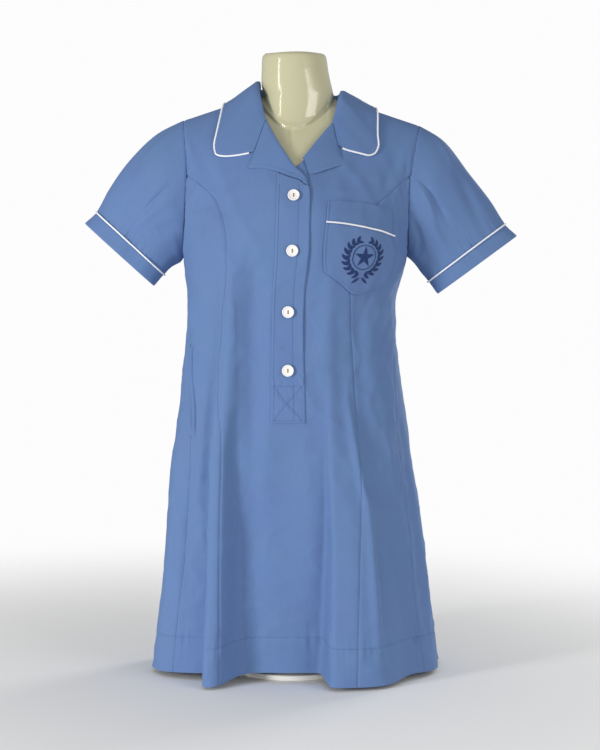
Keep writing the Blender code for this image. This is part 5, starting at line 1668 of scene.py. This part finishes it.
# Softboxes: a tall key lamp at the wearer's right with a narrow one above it, a fill lamp at the left, one
# behind the left shoulder and a low strip in front. Each looks at the axis of the dress at a height
LAMPS = table(
    "x y z width height power aim_z",
    (-2.1, -1.7, 0.50, 0.5, 0.9, 43.0, 0.5),
    (-2.1, -1.7, 1.38, 0.1, 0.8, 5.0, 0.8),
    (1.9, -2.0, 0.90, 1.2, 1.2, 20.0, 0.5),
    (1.8, 1.9, 1.10, 1.0, 1.0, 26.0, 0.5),
    (-0.2, -1.7, 0.12, 1.2, 0.2, 2.5, 0.1),
)


def stage_and_lights():
    """A pale floor, white walls, the softboxes, and the camera before the dress."""
    half = FLOOR_REACH
    # Just under the base, so that the two don't share a face
    low = -0.0004
    corners = np.array([(-half, -half, low), (half, -half, low), (half, half, low), (-half, half, low)])
    build_mesh("floor", corners, np.array([[0, 1, 2, 3]]), pale_floor())
    world = bpy.data.worlds.new("studio")
    world.use_nodes = True
    tree = world.node_tree
    # The walls of the studio look white, and their light is soft and weak
    sight = add(tree, "ShaderNodeLightPath").outputs["Is Camera Ray"]
    strength = add(tree, "ShaderNodeMapRange", {"To Min": STUDIO_LIGHT, "To Max": STUDIO_WHITE},
                   {"Value": sight})
    tree.links.new(strength.outputs["Result"], tree.nodes["Background"].inputs["Strength"])
    tree.nodes["Background"].inputs["Color"].default_value = (1.0, 1.0, 1.0, 1.0)
    scene = bpy.context.scene
    scene.world = world
    for number, (x, y, z, width, height, power, aim_z) in enumerate(each(LAMPS)):
        lamp = bpy.data.lights.new(f"softbox_{number}", "AREA")
        lamp.shape, lamp.size, lamp.size_y, lamp.energy = "RECTANGLE", width, height, power
        holder = bpy.data.objects.new(f"softbox_{number}", lamp)
        holder.location = (x, y, z)
        aim = Vector((0, 0, aim_z)) - Vector((x, y, z))
        holder.rotation_mode = "QUATERNION"
        holder.rotation_quaternion = aim.to_track_quat("-Z", "Y")
        bpy.context.collection.objects.link(holder)
    view = bpy.data.cameras.new("camera")
    view.sensor_fit = "AUTO"
    view.sensor_width, view.lens, view.clip_start = SENSOR_WIDTH, CAMERA_LENS, 0.05
    camera = bpy.data.objects.new("camera", view)
    camera.location = CAMERA_PLACE
    camera.rotation_euler = (math.pi / 2, 0, 0)
    bpy.context.collection.objects.link(camera)
    scene.camera = camera
    scene.view_settings.view_transform = "Standard"


def main():
    """The studio, and then the dress, its trimmings, the form and the stand, each with its finish."""
    stage_and_lights()
    cloth, white = poplin(), white_cord()
    thread = plain_thread("blue_thread", "#4e6ea8")
    navy = plain_thread("navy_thread", "#022a62", 0.8)
    tan = plain_thread("tan_thread", "#a98d6c")
    # Cast polyester, tumbled until it shines: milky white with a soft gloss
    shell, _, _ = finish_of("button_shown", "#f1efec", 0.28, IOR=1.55)
    # Painted shade: dark brown, without a gloss, for the shadow down the drilled holes of a button
    hole_shadow_paint, _, _ = finish_of("button_hole_shade", "#5a4c42", 0.8)
    # Powder-coated steel plate: an even off-white with a broad, dull shine
    coated, _, _ = finish_of("coating_shown", "#e9e7e2", 0.45)
    # Brushed steel tube: grey, with blurred reflections
    steel, _, _ = finish_of("steel_shown", "#b9bbbe", 0.32, Metallic=1.0)
    front_panels(cloth)
    back_panel(cloth)
    placket(cloth)
    turned_lines = list(collar_and_lapels(cloth, white))
    sleeves(cloth, white)
    pocket(cloth, white)
    sew(thread, turned_lines)
    emblem(navy)
    buttons(shell, hole_shadow_paint, tan)
    torso(moulded_plastic())
    stand(coated, steel)


main()
